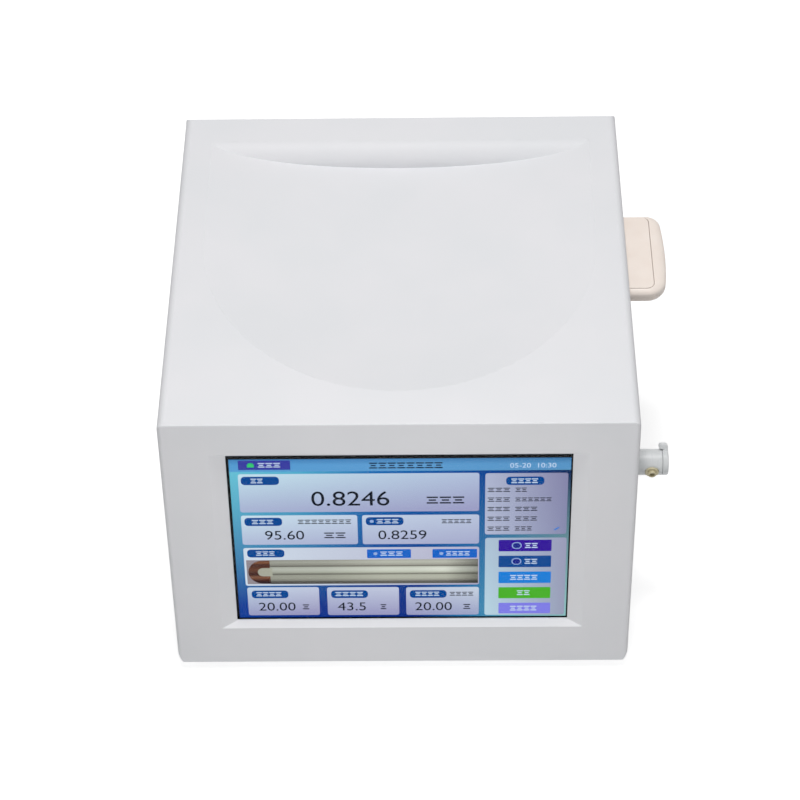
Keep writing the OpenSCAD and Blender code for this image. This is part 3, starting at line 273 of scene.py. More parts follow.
def round_edges(bm, edges, radius, segments=8):
    bmesh.ops.bevel(bm, geom=edges, offset=radius, offset_type="OFFSET", segments=segments, profile=0.5,
                    affect="EDGES", material=-1, clamp_overlap=True)


def close_and_point_out(bm):
    """Joins doubled vertices and turns every face outwards."""
    bmesh.ops.remove_doubles(bm, verts=bm.verts, dist=1e-6)
    bmesh.ops.recalc_face_normals(bm, faces=bm.faces)


def turn(bm, profile, place, steps=96):
    """Turns a profile of (radius, height) points round Z, then puts it in place."""
    verts = [bm.verts.new((radius, 0, height)) for radius, height in profile]
    edges = [bm.edges.new(pair) for pair in zip(verts, verts[1:])]
    bmesh.ops.spin(bm, geom=verts + edges, cent=(0, 0, 0), axis=Z, dvec=(0, 0, 0), angle=math.tau,
                   steps=steps, use_merge=True, use_duplicate=False)
    close_and_point_out(bm)
    bmesh.ops.transform(bm, matrix=place, verts=bm.verts)


def along(axis, point):
    """A frame whose Z runs along the axis from the point."""
    return Matrix.Translation(point) @ Vector(axis).to_track_quat("Z", "Y").to_matrix().to_4x4()


def new_object(name, bm):
    mesh = bpy.data.meshes.new(name)
    bm.to_mesh(mesh)
    bm.free()
    piece = bpy.data.objects.new(name, mesh)
    bpy.context.scene.collection.objects.link(piece)
    return piece


def settle(piece):
    """Applies the modifiers, so that the mesh holds the whole shape."""
    graph = bpy.context.evaluated_depsgraph_get()
    shaped = bpy.data.meshes.new_from_object(piece.evaluated_get(graph), preserve_all_data_layers=True,
                                             depsgraph=graph)
    piece.modifiers.clear()
    rough, piece.data = piece.data, shaped
    shaped.name = piece.name
    bpy.data.meshes.remove(rough)


def combine(piece, other, operation="DIFFERENCE"):
    """Cuts the other object away, or joins it on, and removes it."""
    modifier = piece.modifiers.new("combine", "BOOLEAN")
    modifier.object = other
    modifier.operation = operation
    modifier.solver = "EXACT"
    settle(piece)
    mesh = other.data
    bpy.data.objects.remove(other)
    bpy.data.meshes.remove(mesh)


def rod(name, axis, start, run, radius, steps=32):
    """A plain round rod from the start along the axis."""
    bm = bmesh.new()
    bmesh.ops.create_cone(bm, cap_ends=True, segments=steps, radius1=radius, radius2=radius, depth=run,
                          matrix=along(axis, start) @ Matrix.Translation((0, 0, run / 2)))
    return new_object(name, bm)


def block(low, high, place=Matrix.Identity(4), name="block"):
    """A plain block, mostly to cut with."""
    bm = bmesh.new()
    add_block(bm, low, high, place)
    return new_object(name, bm)


def drill(piece, axis, point, radius, depth, steps=48):
    """Drills a round hole from the point along the axis."""
    combine(piece, rod("drill", axis, point, depth, radius, steps))


def soften(piece, width, segments=3, limit=30):
    """Rounds every edge that turns by more than the limit, in degrees."""
    modifier = piece.modifiers.new("soft edges", "BEVEL")
    modifier.limit_method = "ANGLE"
    modifier.angle_limit = math.radians(limit)
    modifier.width = width
    modifier.segments = segments
    modifier.use_clamp_overlap = True
    settle(piece)


def finish(piece, material, body, sharp=9.0):
    """Sets the shading, and gives the piece its material and body."""
    piece.data.shade_smooth()
    piece.data.set_sharp_from_angle(angle=math.radians(sharp))
    weighted = piece.modifiers.new("even shading", "WEIGHTED_NORMAL")
    weighted.keep_sharp = True
    weighted.weight = 100
    piece.data.materials.clear()
    piece.data.materials.append(material)
    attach(piece, body)
    return piece


# ---------------------------------------------------------------- materials

def add_node(tree, kind, settings=None, links=None):
    """Adds a node, sets its properties and inputs by name, and links its inputs."""
    node = tree.nodes.new(kind)
    for key, value in (settings or {}).items():
        if isinstance(key, int) or key in node.inputs:
            node.inputs[key].default_value = value
        else:
            setattr(node, key, value)
    for key, source in (links or {}).items():
        tree.links.new(source, node.inputs[key])
    return node


def start_material(name, colour, **values):
    """A material with its shader's own sockets set; returns it with its tree and shader."""
    material = bpy.data.materials.new(name)
    material.use_nodes = True
    tree = material.node_tree
    shader = tree.nodes["Principled BSDF"]
    shader.inputs["Base Color"].default_value = linear(colour)
    for key, value in values.items():
        shader.inputs[key.replace("_", " ")].default_value = value
    material.diffuse_color = linear(colour)
    return material, tree, shader


def object_pattern(tree, kind, size, settings=None, stretch=(1, 1, 1)):
    """A texture node in Object coordinates that repeats about once in this size; stretch draws it out."""
    place = add_node(tree, "ShaderNodeTexCoord")
    mapping = add_node(tree, "ShaderNodeMapping", {"Scale": stretch}, {"Vector": place.outputs["Object"]})
    return add_node(tree, kind, {"Scale": 1 / size, **(settings or {})},
                    {"Vector": mapping.outputs["Vector"]})


def object_noise(tree, size, detail=3.0, stretch=(1, 1, 1)):
    """Noise whose lumps are about this size."""
    return object_pattern(tree, "ShaderNodeTexNoise", size, {"Detail": detail}, stretch)


def add_bump(tree, shader, height, distance, strength=0.5, under=None):
    """Raises the surface by up to this distance, on top of another bump if one is given."""
    links = {"Height": height}
    if under:
        links["Normal"] = under.outputs["Normal"]
    bump = add_node(tree, "ShaderNodeBump", {"Strength": strength, "Distance": distance}, links)
    tree.links.new(bump.outputs["Normal"], shader.inputs["Normal"])
    return bump


def vary_roughness(tree, shader, noise, low, high):
    spread = add_node(tree, "ShaderNodeMapRange",
                      {"From Min": 0.3, "From Max": 0.7, "To Min": low, "To Max": high},
                      {"Value": noise.outputs["Fac"]})
    tree.links.new(spread.outputs["Result"], shader.inputs["Roughness"])


def vary_colour(tree, shader, noise, first, second):
    spread = add_node(tree, "ShaderNodeMapRange", {"From Min": 0.35, "From Max": 0.65},
                      {"Value": noise.outputs["Fac"]})
    mix = add_node(tree, "ShaderNodeMix", {"data_type": "RGBA", 6: linear(first), 7: linear(second)},
                   {0: spread.outputs["Result"]})
    tree.links.new(mix.outputs[2], shader.inputs["Base Color"])


def grained(name, colour, grain, rough=None, tints=None, patch=None, bump=None, **values):
    """A material with one grain, given as (size in mm, detail, stretch).

    The grain varies the roughness between two values and raises the surface by (mm, strength). The two
    tints lie in patches of (size in mm, detail), or in the grain itself where no patch is given.
    """
    material, tree, shader = start_material(name, colour, **values)
    texture = object_noise(tree, grain[0] * MM, *grain[1:])
    if rough:
        vary_roughness(tree, shader, texture, *rough)
    if tints:
        tinted = object_noise(tree, patch[0] * MM, *patch[1:]) if patch else texture
        vary_colour(tree, shader, tinted, *tints)
    if bump:
        add_bump(tree, shader, texture.outputs["Fac"], bump[0] * MM, bump[1])
    return material


def satin_paint():
    """Satin two-pack paint on moulded ABS: a cool white with orange peel a few mm wide and a fine grit."""
    material, tree, shader = start_material("satin_paint_on_abs", case().paint, Roughness=0.58, IOR=1.45)
    grit = object_noise(tree, 0.9 * MM, 4)
    vary_roughness(tree, shader, grit, 0.52, 0.66)
    vary_colour(tree, shader, object_noise(tree, 60 * MM, 2), case().paint, "#E6E7EA")
    peel = add_bump(tree, shader, object_noise(tree, 3.5 * MM, 2).outputs["Fac"], 0.05 * MM, 0.25)
    add_bump(tree, shader, grit.outputs["Fac"], 0.03 * MM, 0.3, peel)
    return material


def powder_coat():
    """Fine-texture polyester powder coat on sheet steel: close grit that keeps highlights soft."""
    return grained("powder_coated_steel", "#D9D9DC", (0.8, 2), (0.45, 0.65), ("#DADADD", "#D5D6D9"), (40,),
                   (0.12, 0.5), Roughness=0.55, IOR=1.5)


def cream_abs():
    """Cream ABS, spark-eroded mould: a warm white with an even grain that shows only near highlights."""
    return grained("cream_abs", "#F8ECE3", (0.7, 2), (0.34, 0.46), ("#F9EEE5", "#F5E8DE"), (22, 2),
                   (0.04, 0.35), Roughness=0.4, IOR=1.53)


def turned_acetal():
    """Light grey acetal, turned: waxy, with faint tool rings round the port's axis."""
    return grained("turned_acetal", "#D8DADB", (0.5, 1, (1, 0.05, 0.05)), (0.26, 0.4),
                   ("#DADCDD", "#D2D5D6"), (9, 2), (0.02, 0.3), Roughness=0.32, IOR=1.48)


def turned_peek():
    """Natural PEEK, turned: opaque tan with a satin cut face."""
    return grained("turned_peek", "#CDC3A0", (0.35, 2), (0.28, 0.45), ("#D0C7A6", "#C2B892"), (2.5, 2),
                   (0.02, 0.3), Roughness=0.35, IOR=1.65)


def nitrile_rubber():
    """Black nitrile rubber, pressed: matt, with a dusty bloom in soft patches."""
    material, tree, shader = start_material("nitrile_rubber", "#1B1B1D", Roughness=0.82, IOR=1.5)
    bloom = object_noise(tree, 4 * MM)
    vary_roughness(tree, shader, bloom, 0.72, 0.9)
    vary_colour(tree, shader, bloom, "#19191B", "#262628")
    add_bump(tree, shader, object_noise(tree, 0.6 * MM, 2).outputs["Fac"], 0.05 * MM, 0.4)
    return material


def cell_foam():
    """Closed-cell foam: dark grey with cells about a millimetre across, drawn coarse enough to show."""
    material, tree, shader = start_material("closed_cell_foam", "#38383A", Roughness=0.9, IOR=1.45)
    cells = object_pattern(tree, "ShaderNodeTexVoronoi", 1.1 * MM)
    add_bump(tree, shader, cells.outputs["Distance"], 0.3 * MM, 0.6)
    vary_colour(tree, shader, object_noise(tree, 5 * MM), "#3A3A3C", "#303032")
    return material


def white_felt():
    """Polyester felt: pale fibres a few tenths of a millimetre wide, matt with a weak sheen."""
    return grained("polyester_felt", "#DADCDF", (0.8, 6, (1, 0.35, 1)), None, ("#DFE1E4", "#C9CCD0"), None,
                   (0.3, 0.7), Roughness=0.95, Sheen_Weight=0.3)


def clear_pane():
    """Hardened glass with an anti-reflective coating: the low index stands for the shine it leaves."""
    return grained("coated_glass", "#F6F9FA", (35, 2), (0.02, 0.05), Roughness=0.03, IOR=1.12,
                   Transmission_Weight=1.0)


def lab_glass():
    """Borosilicate glass, fire-polished: clear with a trace of green."""
    return grained("borosilicate_glass", "#EAF3F0", (8, 2), (0.01, 0.04), Roughness=0.02, IOR=1.47,
                   Transmission_Weight=1.0)


def border_ink():
    """Black screen print on the back of the glass: deep, even black."""
    return grained("black_glass_print", "#08090B", (1, 2), (0.42, 0.58), Roughness=0.5,
                   Specular_IOR_Level=0.1)


def display_panel():
    """Display module in its pressed tin frame: dull nickel-grey sheet."""
    return grained("display_module_tin", "#8E9399", (1.5, 2, (0.1, 1, 1)), (0.34, 0.5), Roughness=0.42,
                   Metallic=0.8)


def hose_ptfe():
    """PTFE hose, extruded: milky white and waxy."""
    return grained("ptfe_hose", "#E2E5E6", (1,), (0.25, 0.38), ("#E4E7E8", "#D6DADC"), (12,),
                   Roughness=0.3, IOR=1.35, Subsurface_Weight=0.2, Subsurface_Scale=2 * MM)


def zinc_sheet():
    """Zinc-plated sheet steel, rolled: blue-grey with a fine rolling grain along X."""
    return grained("zinc_plated_steel", "#A9AEB4", (0.6, 3, (0.06, 1, 1)), (0.28, 0.48),
                   ("#AEB3BA", "#9DA2A8"), (14, 2), (0.015, 0.3), Metallic=1.0, Roughness=0.35)


def screw_steel():
    """A2 stainless steel, cold headed: bright grey with a satin head."""
    return grained("stainless_steel", "#9B9DA1", (0.5,), (0.2, 0.38), bump=(0.01, 0.25), Metallic=1.0,
                   Roughness=0.28)


def milled_aluminium():
    """Aluminium 6082, milled: pale metal with cutter lines about half a millimetre apart."""
    return grained("milled_aluminium", "#CFD1D4", (0.5, 2, (1, 0.05, 1)), (0.24, 0.42), bump=(0.01, 0.3),
                   Metallic=1.0, Roughness=0.3)


def turned_brass():
    """Free-cutting brass, turned: warm yellow, lightly dulled."""
    return grained("turned_brass", "#C9A45A", (3,), (0.24, 0.42), ("#CDA95F", "#B08C49"), Metallic=1.0,
                   Roughness=0.3)


def copper_winding():
    """Enamelled copper wire, wound: the turns are drawn coarse, as bands about 3 mm apart along X."""
    material, tree, shader = start_material("enamelled_copper", "#B06A35", Metallic=0.9, Roughness=0.3,
                                            Coat_Weight=0.6)
    turns = object_pattern(tree, "ShaderNodeTexWave", 10 * MM, {"bands_direction": "X"})
    add_bump(tree, shader, turns.outputs["Fac"], 0.2 * MM, 0.7)
    return material


def alumina():
    """Alumina ceramic, fired: chalk white and matt."""
    return grained("alumina_ceramic", "#EDEDE8", (0.6,), (0.5, 0.72), ("#EEEEE9", "#E2E2DC"), (6,),
                   Roughness=0.6, IOR=1.7)


def black_nylon():
    """Black glass-filled nylon, moulded: near-black with a fine spark-eroded grain."""
    return grained("black_glass_filled_nylon", "#17181A", (0.6,), (0.4, 0.62), ("#18191B", "#202124"), (10,),
                   (0.04, 0.4), Roughness=0.5, IOR=1.53)


def solder_mask():
    """Green solder mask on glass-epoxy board: glossy, with the copper tracks just showing through."""
    material, tree, shader = start_material("solder_mask_board", "#15502B", Roughness=0.28, IOR=1.55,
                                            Coat_Weight=0.4)
    tracks = object_pattern(tree, "ShaderNodeTexBrick", 12 * MM,
                            {"Color1": linear("#17552E"), "Color2": linear("#13492A"),
                             "Mortar": linear("#1F6B3B"), "Mortar Size": 0.03})
    tree.links.new(tracks.outputs["Color"], shader.inputs["Base Color"])
    vary_roughness(tree, shader, object_noise(tree, 2 * MM), 0.22, 0.36)
    return material


def film_cable():
    """Polyester film cable: pale amber, its conductors drawn coarse, about 6 mm apart."""
    material, tree, shader = start_material("polyester_film_cable", "#CFC39A", Roughness=0.3, IOR=1.6)
    wires = object_pattern(tree, "ShaderNodeTexWave", 20 * MM, {"bands_direction": "X"})
    vary_colour(tree, shader, wires, "#D4C8A0", "#BDB086")
    return material


MATERIAL_MAKERS = {
    "case_plastic": satin_paint, "panel_paint": powder_coat, "cream_plastic": cream_abs,
    "port_plastic": turned_acetal, "peek": turned_peek, "foot_rubber": nitrile_rubber,
    "foam": cell_foam, "filter_felt": white_felt, "touch_glass": clear_pane, "lcd": display_panel,
    "clear_glass": lab_glass, "clear_hose": hose_ptfe, "zinc_steel": zinc_sheet,
    "screw_steel": screw_steel, "aluminium": milled_aluminium, "brass": turned_brass,
    "copper": copper_winding, "ceramic": alumina, "black_plastic": black_nylon,
    "circuit_board": solder_mask, "ribbon": film_cable,
}


def material_for(slot):
    """The material of a record slot, made once."""
    made = bpy.context.scene.get("density_meter_materials") or {}
    if slot not in made:
        material = MATERIAL_MAKERS[slot]()
        made = dict(made)
        made[slot] = material.name
        bpy.context.scene["density_meter_materials"] = made
    return bpy.data.materials[made[slot]]


# ---------------------------------------------------------------- case

def scoop_cutter(grow):
    """The scoop as a solid: a ball's cap in front, drawn straight back, ended by the rolled lip."""
    s = case()
    ball = (s.scoop_rim ** 2 + s.scoop_depth ** 2) / (2 * s.scoop_depth)
    centre = Vector((0, crease_y() + s.scoop_back, CASE_HIGH.z - s.scoop_depth + ball))
    radius = ball + grow
    past_rim = 10 * MM
    half = math.asin((s.scoop_rim + past_rim) / ball)
    steps = 28
    bm = bmesh.new()
    arc = [bm.verts.new((radius * math.sin(half * i / steps), 0, -radius * math.cos(half * i / steps)))
           for i in range(steps + 1)]
    roof = bm.verts.new((0, 0, arc[-1].co.z))
    outline = arc + [roof]
    edges = [bm.edges.new(pair) for pair in zip(outline, outline[1:])]
    bmesh.ops.spin(bm, geom=outline + edges, cent=(0, 0, 0), axis=Z, dvec=(0, 0, 0), angle=-math.pi,
                   steps=96, use_merge=False, use_duplicate=False)
    bmesh.ops.remove_doubles(bm, verts=bm.verts, dist=1e-6)
    open_edges = [edge for edge in bm.edges if edge.is_boundary]
    drawn = bmesh.ops.extrude_edge_only(bm, edges=open_edges)["geom"]
    lip_y, past_lip = CASE_HIGH.y - s.strip, 5 * MM
    bmesh.ops.translate(bm, vec=(0, lip_y + past_lip - centre.y, 0), verts=only(drawn, bmesh.types.BMVert))
    bmesh.ops.contextual_create(bm, geom=[edge for edge in bm.edges if edge.is_boundary])
    bmesh.ops.translate(bm, vec=centre, verts=bm.verts)
    close_and_point_out(bm)
    cutter = new_object("scoop", bm)

    lip = bmesh.new()
    wide, far = 1.0, 0.1
    verts = add_block(lip, (-wide, lip_y - s.lip_round + grow, CASE_HIGH.z - far),
                      (wide, lip_y + far, CASE_HIGH.z - grow))
    front_top = [edge for edge in edges_along(verts, X)
                 if all(v.co.z > CASE_HIGH.z - far / 2 and v.co.y < lip_y for v in edge.verts)]
    round_edges(lip, front_top, s.lip_round - grow, 24)
    combine(cutter, new_object("lip", lip))
    return cutter


def outer_form():
    """The wedge of the case; each edge is marked with its own share of the largest radius."""
    s = case()
    bm = bmesh.new()
    verts = add_block(bm, CASE_LOW, CASE_HIGH)
    for vert in verts:
        if vert.co.z > CASE_HIGH.z - MM and vert.co.y < 0:
            vert.co.y = crease_y()
    weight = bm.edges.layers.float.new("bevel_weight_edge")
    for edge in bm.edges:
        a, b = (v.co for v in edge.verts)
        at_side = abs(a.x - b.x) < MM
        if at_side and a.z > CASE_HIGH.z - MM and b.z > CASE_HIGH.z - MM:
            radius = s.top_round
        elif at_side and a.z < CASE_LOW.z + MM and b.z < CASE_LOW.z + MM:
            radius = s.low_round
        elif at_side and a.y < 0 and b.y < 0:
            radius = s.front_round
        else:
            radius = s.crease_round
        edge[weight] = radius / s.low_round
    form = new_object("case_shell", bm)
    rounding = form.modifiers.new("rounding", "BEVEL")
    rounding.limit_method = "WEIGHT"
    rounding.width = s.low_round
    rounding.segments = 14
    rounding.use_clamp_overlap = False
    settle(form)
    return form


def inside_form():
    """The space inside the walls, with the scoop's underside and the screen's carrier left standing."""
    s = case()
    bm = bmesh.new()
    floor = PLATE_HIGH.z + PLATE_GAP + s.wall
    verts = add_block(bm, (CASE_LOW.x + s.wall, CASE_LOW.y, floor),
                      (CASE_HIGH.x - s.wall, CASE_HIGH.y + 5 * MM, CASE_HIGH.z - s.wall))
    lean = math.tan(s.lean)
    back = crease_y() + s.wall / math.cos(s.lean)
    for vert in verts:
        if vert.co.y < 0:
            vert.co.y = back - (CASE_HIGH.z - vert.co.z) * lean
    low = [edge for edge in edges_along(verts, Y) if edge.verts[0].co.z < CASE_LOW.z + 20 * MM]
    round_edges(bm, low, s.low_round - s.wall, 6)
    space = new_object("inside", bm)
    combine(space, scoop_cutter(s.wall))
    low_corner, high_corner = front_span("display_bracket")
    high_corner.y = low_corner.y
    low_corner.y = s.wall - 0.5 * MM
    combine(space, block(low_corner, high_corner, on_front()))
    return space


def window_frame():
    """The sloped frame and the window as one cutter, with a small flare at its mouth."""
    w = screen()
    half_w, half_h = w.width / 2, window_height() / 2
    bm = bmesh.new()
    verts = add_block(bm, (-half_w, 0, -half_h), (half_w, w.bevel_depth, half_h))
    front = [v for v in verts if v.co.y < w.bevel_depth / 2]
    for vert in front:
        vert.co.x += math.copysign(w.side_bevel, vert.co.x)
        vert.co.z += math.copysign(w.low_bevel, vert.co.z)
    mouth = next(face for face in bm.faces if all(v in front for v in face.verts))
    flare = bmesh.ops.extrude_face_region(bm, geom=[mouth])["geom"]
    for vert in only(flare, bmesh.types.BMVert):
        vert.co += Vector((math.copysign(w.flare, vert.co.x), -w.flare_out,
                           math.copysign(w.flare, vert.co.z)))
    bmesh.ops.delete(bm, geom=[mouth], context="FACES_ONLY")
    deep = [v for v in bm.verts if v.co.y > w.bevel_depth / 2]
    back = next(face for face in bm.faces if all(v in deep for v in face.verts))
    through = bmesh.ops.extrude_face_region(bm, geom=[back])["geom"]
    bmesh.ops.translate(bm, vec=(0, 30 * MM, 0), verts=only(through, bmesh.types.BMVert))
    bmesh.ops.delete(bm, geom=[back], context="FACES_ONLY")
    bmesh.ops.recalc_face_normals(bm, faces=bm.faces)
    bmesh.ops.transform(bm, matrix=on_front() @ Matrix.Translation((0, 0, -window_middle())), verts=bm.verts)
    return new_object("window", bm)


class DENSITYMETER_OT_case(bpy.types.Operator):
    """Build the moulded case with its scooped top, window and openings"""
    bl_idname = "density_meter.case"
    bl_label = "Case"

    def execute(self, context):
        shell = outer_form()
        combine(shell, scoop_cutter(0.0))
        combine(shell, inside_form())
        combine(shell, window_frame())
        combine(shell, self.glass_seat())
        self.cut_underside(shell)
        start, run, clearance = CASE_HIGH.x - 10 * MM, 20 * MM, 0.2 * MM
        port = (PORT_LOW + PORT_HIGH) / 2
        drill(shell, X, (start, port.y, port.z), 6 * MM + clearance, run)
        drill(shell, X, (start, (BASE_LOW.y + BASE_HIGH.y) / 2, COVER_LOW.z), 3 * MM + clearance, run)
        finish(shell, material_for("case_plastic"), "case", sharp=8.0)
        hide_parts("housing_shell")
        return {"FINISHED"}

    def glass_seat(self):
        """The room that the glass and its gasket take in the carrier, as a cutter."""
        low, high = front_span("touch_glass")
        gap = Vector((0.3 * MM, 0, 0.3 * MM))
        low.y = front_span("display_gasket")[0].y
        high.y += 8 * MM
        return block(low - gap, high + gap, on_front())

    def cut_underside(self, shell):
        """The seat of the base plate, and the opening that its rim leaves."""
        low = Vector((PLATE_LOW.x, PLATE_LOW.y, CASE_LOW.z))
        high = Vector((PLATE_HIGH.x, PLATE_HIGH.y, CASE_LOW.z))
        gap, seat_depth = Vector((PLATE_GAP, PLATE_GAP, 0)), 2.3 * MM
        combine(shell, block(low - gap - MM * Z, high + gap + seat_depth * Z))
        side_rim, front_rim, rear_rim, depth = 13 * MM, 16 * MM, 17 * MM, 8 * MM
        combine(shell, block(low + Vector((side_rim, front_rim, 0)),
                             high + Vector((-side_rim, -rear_rim, depth))))


# ---------------------------------------------------------------- screen

# The picture's layout in mm from the window's top left corner. Cards: name, left, top, right, bottom,
# then the colours of the top left, top right, bottom left and bottom right
CARDS = [
    ("main", 6.7, 17.1, 159.4, 47.7, "#D2F0FA", "#BECCE8", "#B4BEDE", "#A6A6CE"),
    ("left", 6.8, 50.3, 81.4, 74.3, "#D6EEF9", "#D2E0F4", "#BEC8E4", "#B6BCDC"),
    ("right", 84.5, 50.5, 159.5, 74.4, "#D0DEF2", "#C8D2EA", "#BAC0DE", "#B2B6D8"),
    ("strip", 6.9, 77.0, 159.7, 108.8, "#DCE6F4", "#C2BED8", "#E0ECF8", "#B4B0CA"),
    ("low_left", 7.6, 110.3, 54.7, 134.3, "#CEDFF0", "#D2D8EE", "#A6A8CE", "#A4A0C8"),
    ("low_middle", 60.0, 110.6, 107.2, 134.5, "#CED6EC", "#D0D6EC", "#A4A4CC", "#A6A4CC"),
    ("low_right", 111.9, 110.9, 159.7, 134.7, "#CCD4EA", "#D8E2F0", "#A4A4CC", "#AAB0D2"),
    ("info", 163.2, 17.5, 215.5, 66.9, "#BAC0DA", "#8C8AB0", "#BEC4DE", "#9092B6"),
    ("keys", 163.5, 69.8, 216.0, 135.1, "#B8CCE0", "#A4A4C2", "#C4E0EE", "#A2A6C0"),
]
PILL_SIZE = (24.2, 6.6)
PILLS = [(8.4, 19.1), (8.9, 52.2), (86.8, 52.2), (9.2, 78.3), (10.3, 113.0), (62.6, 113.2), (114.3, 113.4),
         (176.3, 20.3)]
# Keys: name, colour, then left, top, right, bottom
KEYS = [
    ("violet", "#3510A0", 172.2, 71.5, 206.4, 81.0), ("navy", "#0B4B98", 172.3, 84.7, 206.4, 94.3),
    ("azure", "#1A84E2", 172.4, 98.1, 206.6, 107.8), ("green", "#4DB928", 172.5, 111.3, 206.6, 120.8),
    ("lilac", "#8884F2", 172.7, 124.7, 206.8, 133.9),
    ("strip_left", "#1768D0", 87.0, 78.7, 115.5, 86.0), ("strip_right", "#1768D0", 129.4, 78.8, 158.3, 86.1),
]
# Plain readings: text, left edge, baseline, digit height
READINGS = [("0.8246", 52.0, 42.6, 12.0), ("95.60", 21.2, 70.0, 7.5),
            ("0.8259", 94.3, 70.2, 7.5), ("20.00", 14.2, 130.2, 7.2),
            ("43.5", 66.6, 130.4, 7.2), ("20.00", 117.4, 130.6, 7.2)]
PALE_NUMBERS = [("05-20  10:30", 178.5, 13.1, 3.7)]
# Rows of plain marks that stand where words would be: left, right, middle, height
DARK_WORDS = [(90, 137, 10.8, 4.6), (126, 151, 38.6, 5.6), (59.8, 74.5, 66.8, 4.6), (43.2, 78.0, 55.6, 3.4),
              (135.5, 155.0, 55.8, 3.2), (43.6, 48.4, 127.2, 4.2), (95.0, 99.2, 127.4, 4.2),
              (149.6, 154.8, 127.6, 4.2), (140.6, 156.6, 116.6, 3.2)]
# The info card's rows: middle, right end of the second mark, its height
INFO_ROWS = [(30.7, 190.0, 3.3), (38.5, 206.0, 3.0), (46.1, 197.2, 3.3), (54.0, 197.2, 3.3),
             (62.1, 193.8, 3.3)]
for middle, end, tall in INFO_ROWS:
    DARK_WORDS += [(164.8, 179.6, middle, 3.3), (182.4, end, middle, tall)]
PALE_WORDS = [(19.8, 34.6, 10.0, 3.5), (14.6, 22.8, 22.4, 3.6), (13.6, 28.0, 55.5, 3.4),
              (93.8, 108.4, 55.5, 3.4), (15.0, 27.6, 81.6, 3.4), (13.4, 30.4, 116.1, 3.4),
              (65.4, 84.2, 116.3, 3.4), (118.0, 134.2, 116.5, 3.4), (179.6, 197.0, 23.6, 3.6),
              (189.2, 198.0, 76.2, 4.0), (189.2, 198.0, 89.4, 4.0), (180.0, 198.4, 102.9, 4.0),
              (184.6, 193.6, 116.0, 4.0), (180.2, 198.4, 129.3, 4.0), (95.6, 110.8, 82.3, 3.4),
              (138.2, 154.0, 82.4, 3.4)]
# Step between the picture's layers, a tile's thickness, and how tall type is beside its own digits
LAYER_STEP, TILE_THICK, TYPE_TO_DIGIT = 0.03, 0.02, 1.38
# Middles of the rings on two keys and of three small dots, then the menu key's dome and a short stroke
RINGS = [(183.9, 76.2), (183.9, 89.4)]
DOTS = [(90.6, 55.5), (92.4, 82.3), (135.2, 82.4)]
DOME = (12.9, 8.3, 17.4, 11.7)
STROKE, STROKE_TURN, STROKE_PIVOT = (207.2, 61.9, 211.2, 62.8), 35, Vector((209.3, 0, 62.2))
LIT_TOP, LIT_BOTTOM, HEADER_BOTTOM = 5.8, 135.9, 15.2
TUBE_LEFT, TUBE_TOP, TUBE_RIGHT, TUBE_BOTTOM = 8.2, 87.2, 159.0, 107.5
BEND_END = 23.4


def picture_frame(depth):
    """The picture's frame at this depth: x to the right, z down from the window's top left corner."""
    corner = Matrix.Translation((-screen().width / 2, depth, -screen().top))
    return on_front() @ corner @ Matrix.Scale(-1, 4, Z)


def picture_height(down):
    """Height over the bench, in metres, of a place this many mm down the picture."""
    return CASE_HIGH.z - (screen().top + down * MM) * math.cos(case().lean)


def add_tile(bm, left, top, right, bottom, layer, corner=0.0):
    """A thin tile of the picture; layer counts up towards the viewer."""
    front = -LAYER_STEP * layer
    verts = add_block(bm, (left, front, top), (right, front + TILE_THICK, bottom))
    if corner:
        round_edges(bm, edges_along(verts, Y), corner, 6)
    return verts


def add_spot(bm, x, down, half_width, half_height, layer, corner, segments=8):
    """A tile about its middle whose corners are round enough to make it a disc."""
    verts = add_tile(bm, x - half_width, down - half_height, x + half_width, down + half_height, layer)
    round_edges(bm, edges_along(verts, Y), corner, segments)


def picture_piece(name, bm, material):
    """Puts tiles behind the glass as one piece."""
    bmesh.ops.scale(bm, vec=(MM, MM, MM), verts=bm.verts)
    glass_back, gap = front_span("touch_glass")[1].y, 0.05 * MM
    bmesh.ops.transform(bm, matrix=picture_frame(glass_back - gap), verts=bm.verts)
    bmesh.ops.recalc_face_normals(bm, faces=bm.faces)
    piece = new_object(name, bm)
    piece.data.materials.append(material)
    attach(piece, "case")
    return piece


def add_numbers(bm, text, left, baseline, height):
    """Digits as a flat form in the picture's millimetres."""
    curve = bpy.data.curves.new("numbers", "FONT")
    curve.body = text
    curve.size = height * TYPE_TO_DIGIT
    curve.extrude = 0.4 * TILE_THICK
    curve.resolution_u = 8
    letters = bpy.data.objects.new("numbers", curve)
    bpy.context.scene.collection.objects.link(letters)
    mesh = bpy.data.meshes.new_from_object(letters)
    bpy.data.objects.remove(letters)
    bpy.data.curves.remove(curve)
    wider, front = 1.13, -0.13
    mesh.transform(Matrix(((wider, 0, 0, left), (0, 0, -1, front), (0, -1, 0, baseline), (0, 0, 0, 1))))
    bm.from_mesh(mesh)
    bpy.data.meshes.remove(mesh)


def add_words(bm, left, right, middle, height):
    """A row of plain marks, each of three short bars, as wide as words would be."""
    spacing, filled = 1.3 * height, 0.86
    count = max(1, round((right - left) / spacing))
    step, bar = (right - left) / count, height / 5
    for i in range(count):
        start, end = left + i * step, left + (i + filled) * step
        for row, share in ((-2, 0.0), (0, 0.18), (2, 0.0)):
            inset = share * (end - start)
            top = middle + row * bar - bar / 2
            add_tile(bm, start + inset, top, end - inset, top + bar, 4)


def start_lit(name):
    """A material of the lit display: near-black pixels that glow behind the glass."""
    return start_material("lit_" + name, "#050506", Specular_IOR_Level=0.0, Emission_Strength=screen().glow)


def lit(name, colour):
    """Pixels that glow in one colour."""
    material, _, shader = start_lit(name)
    shader.inputs["Emission Color"].default_value = linear(colour)
    return material


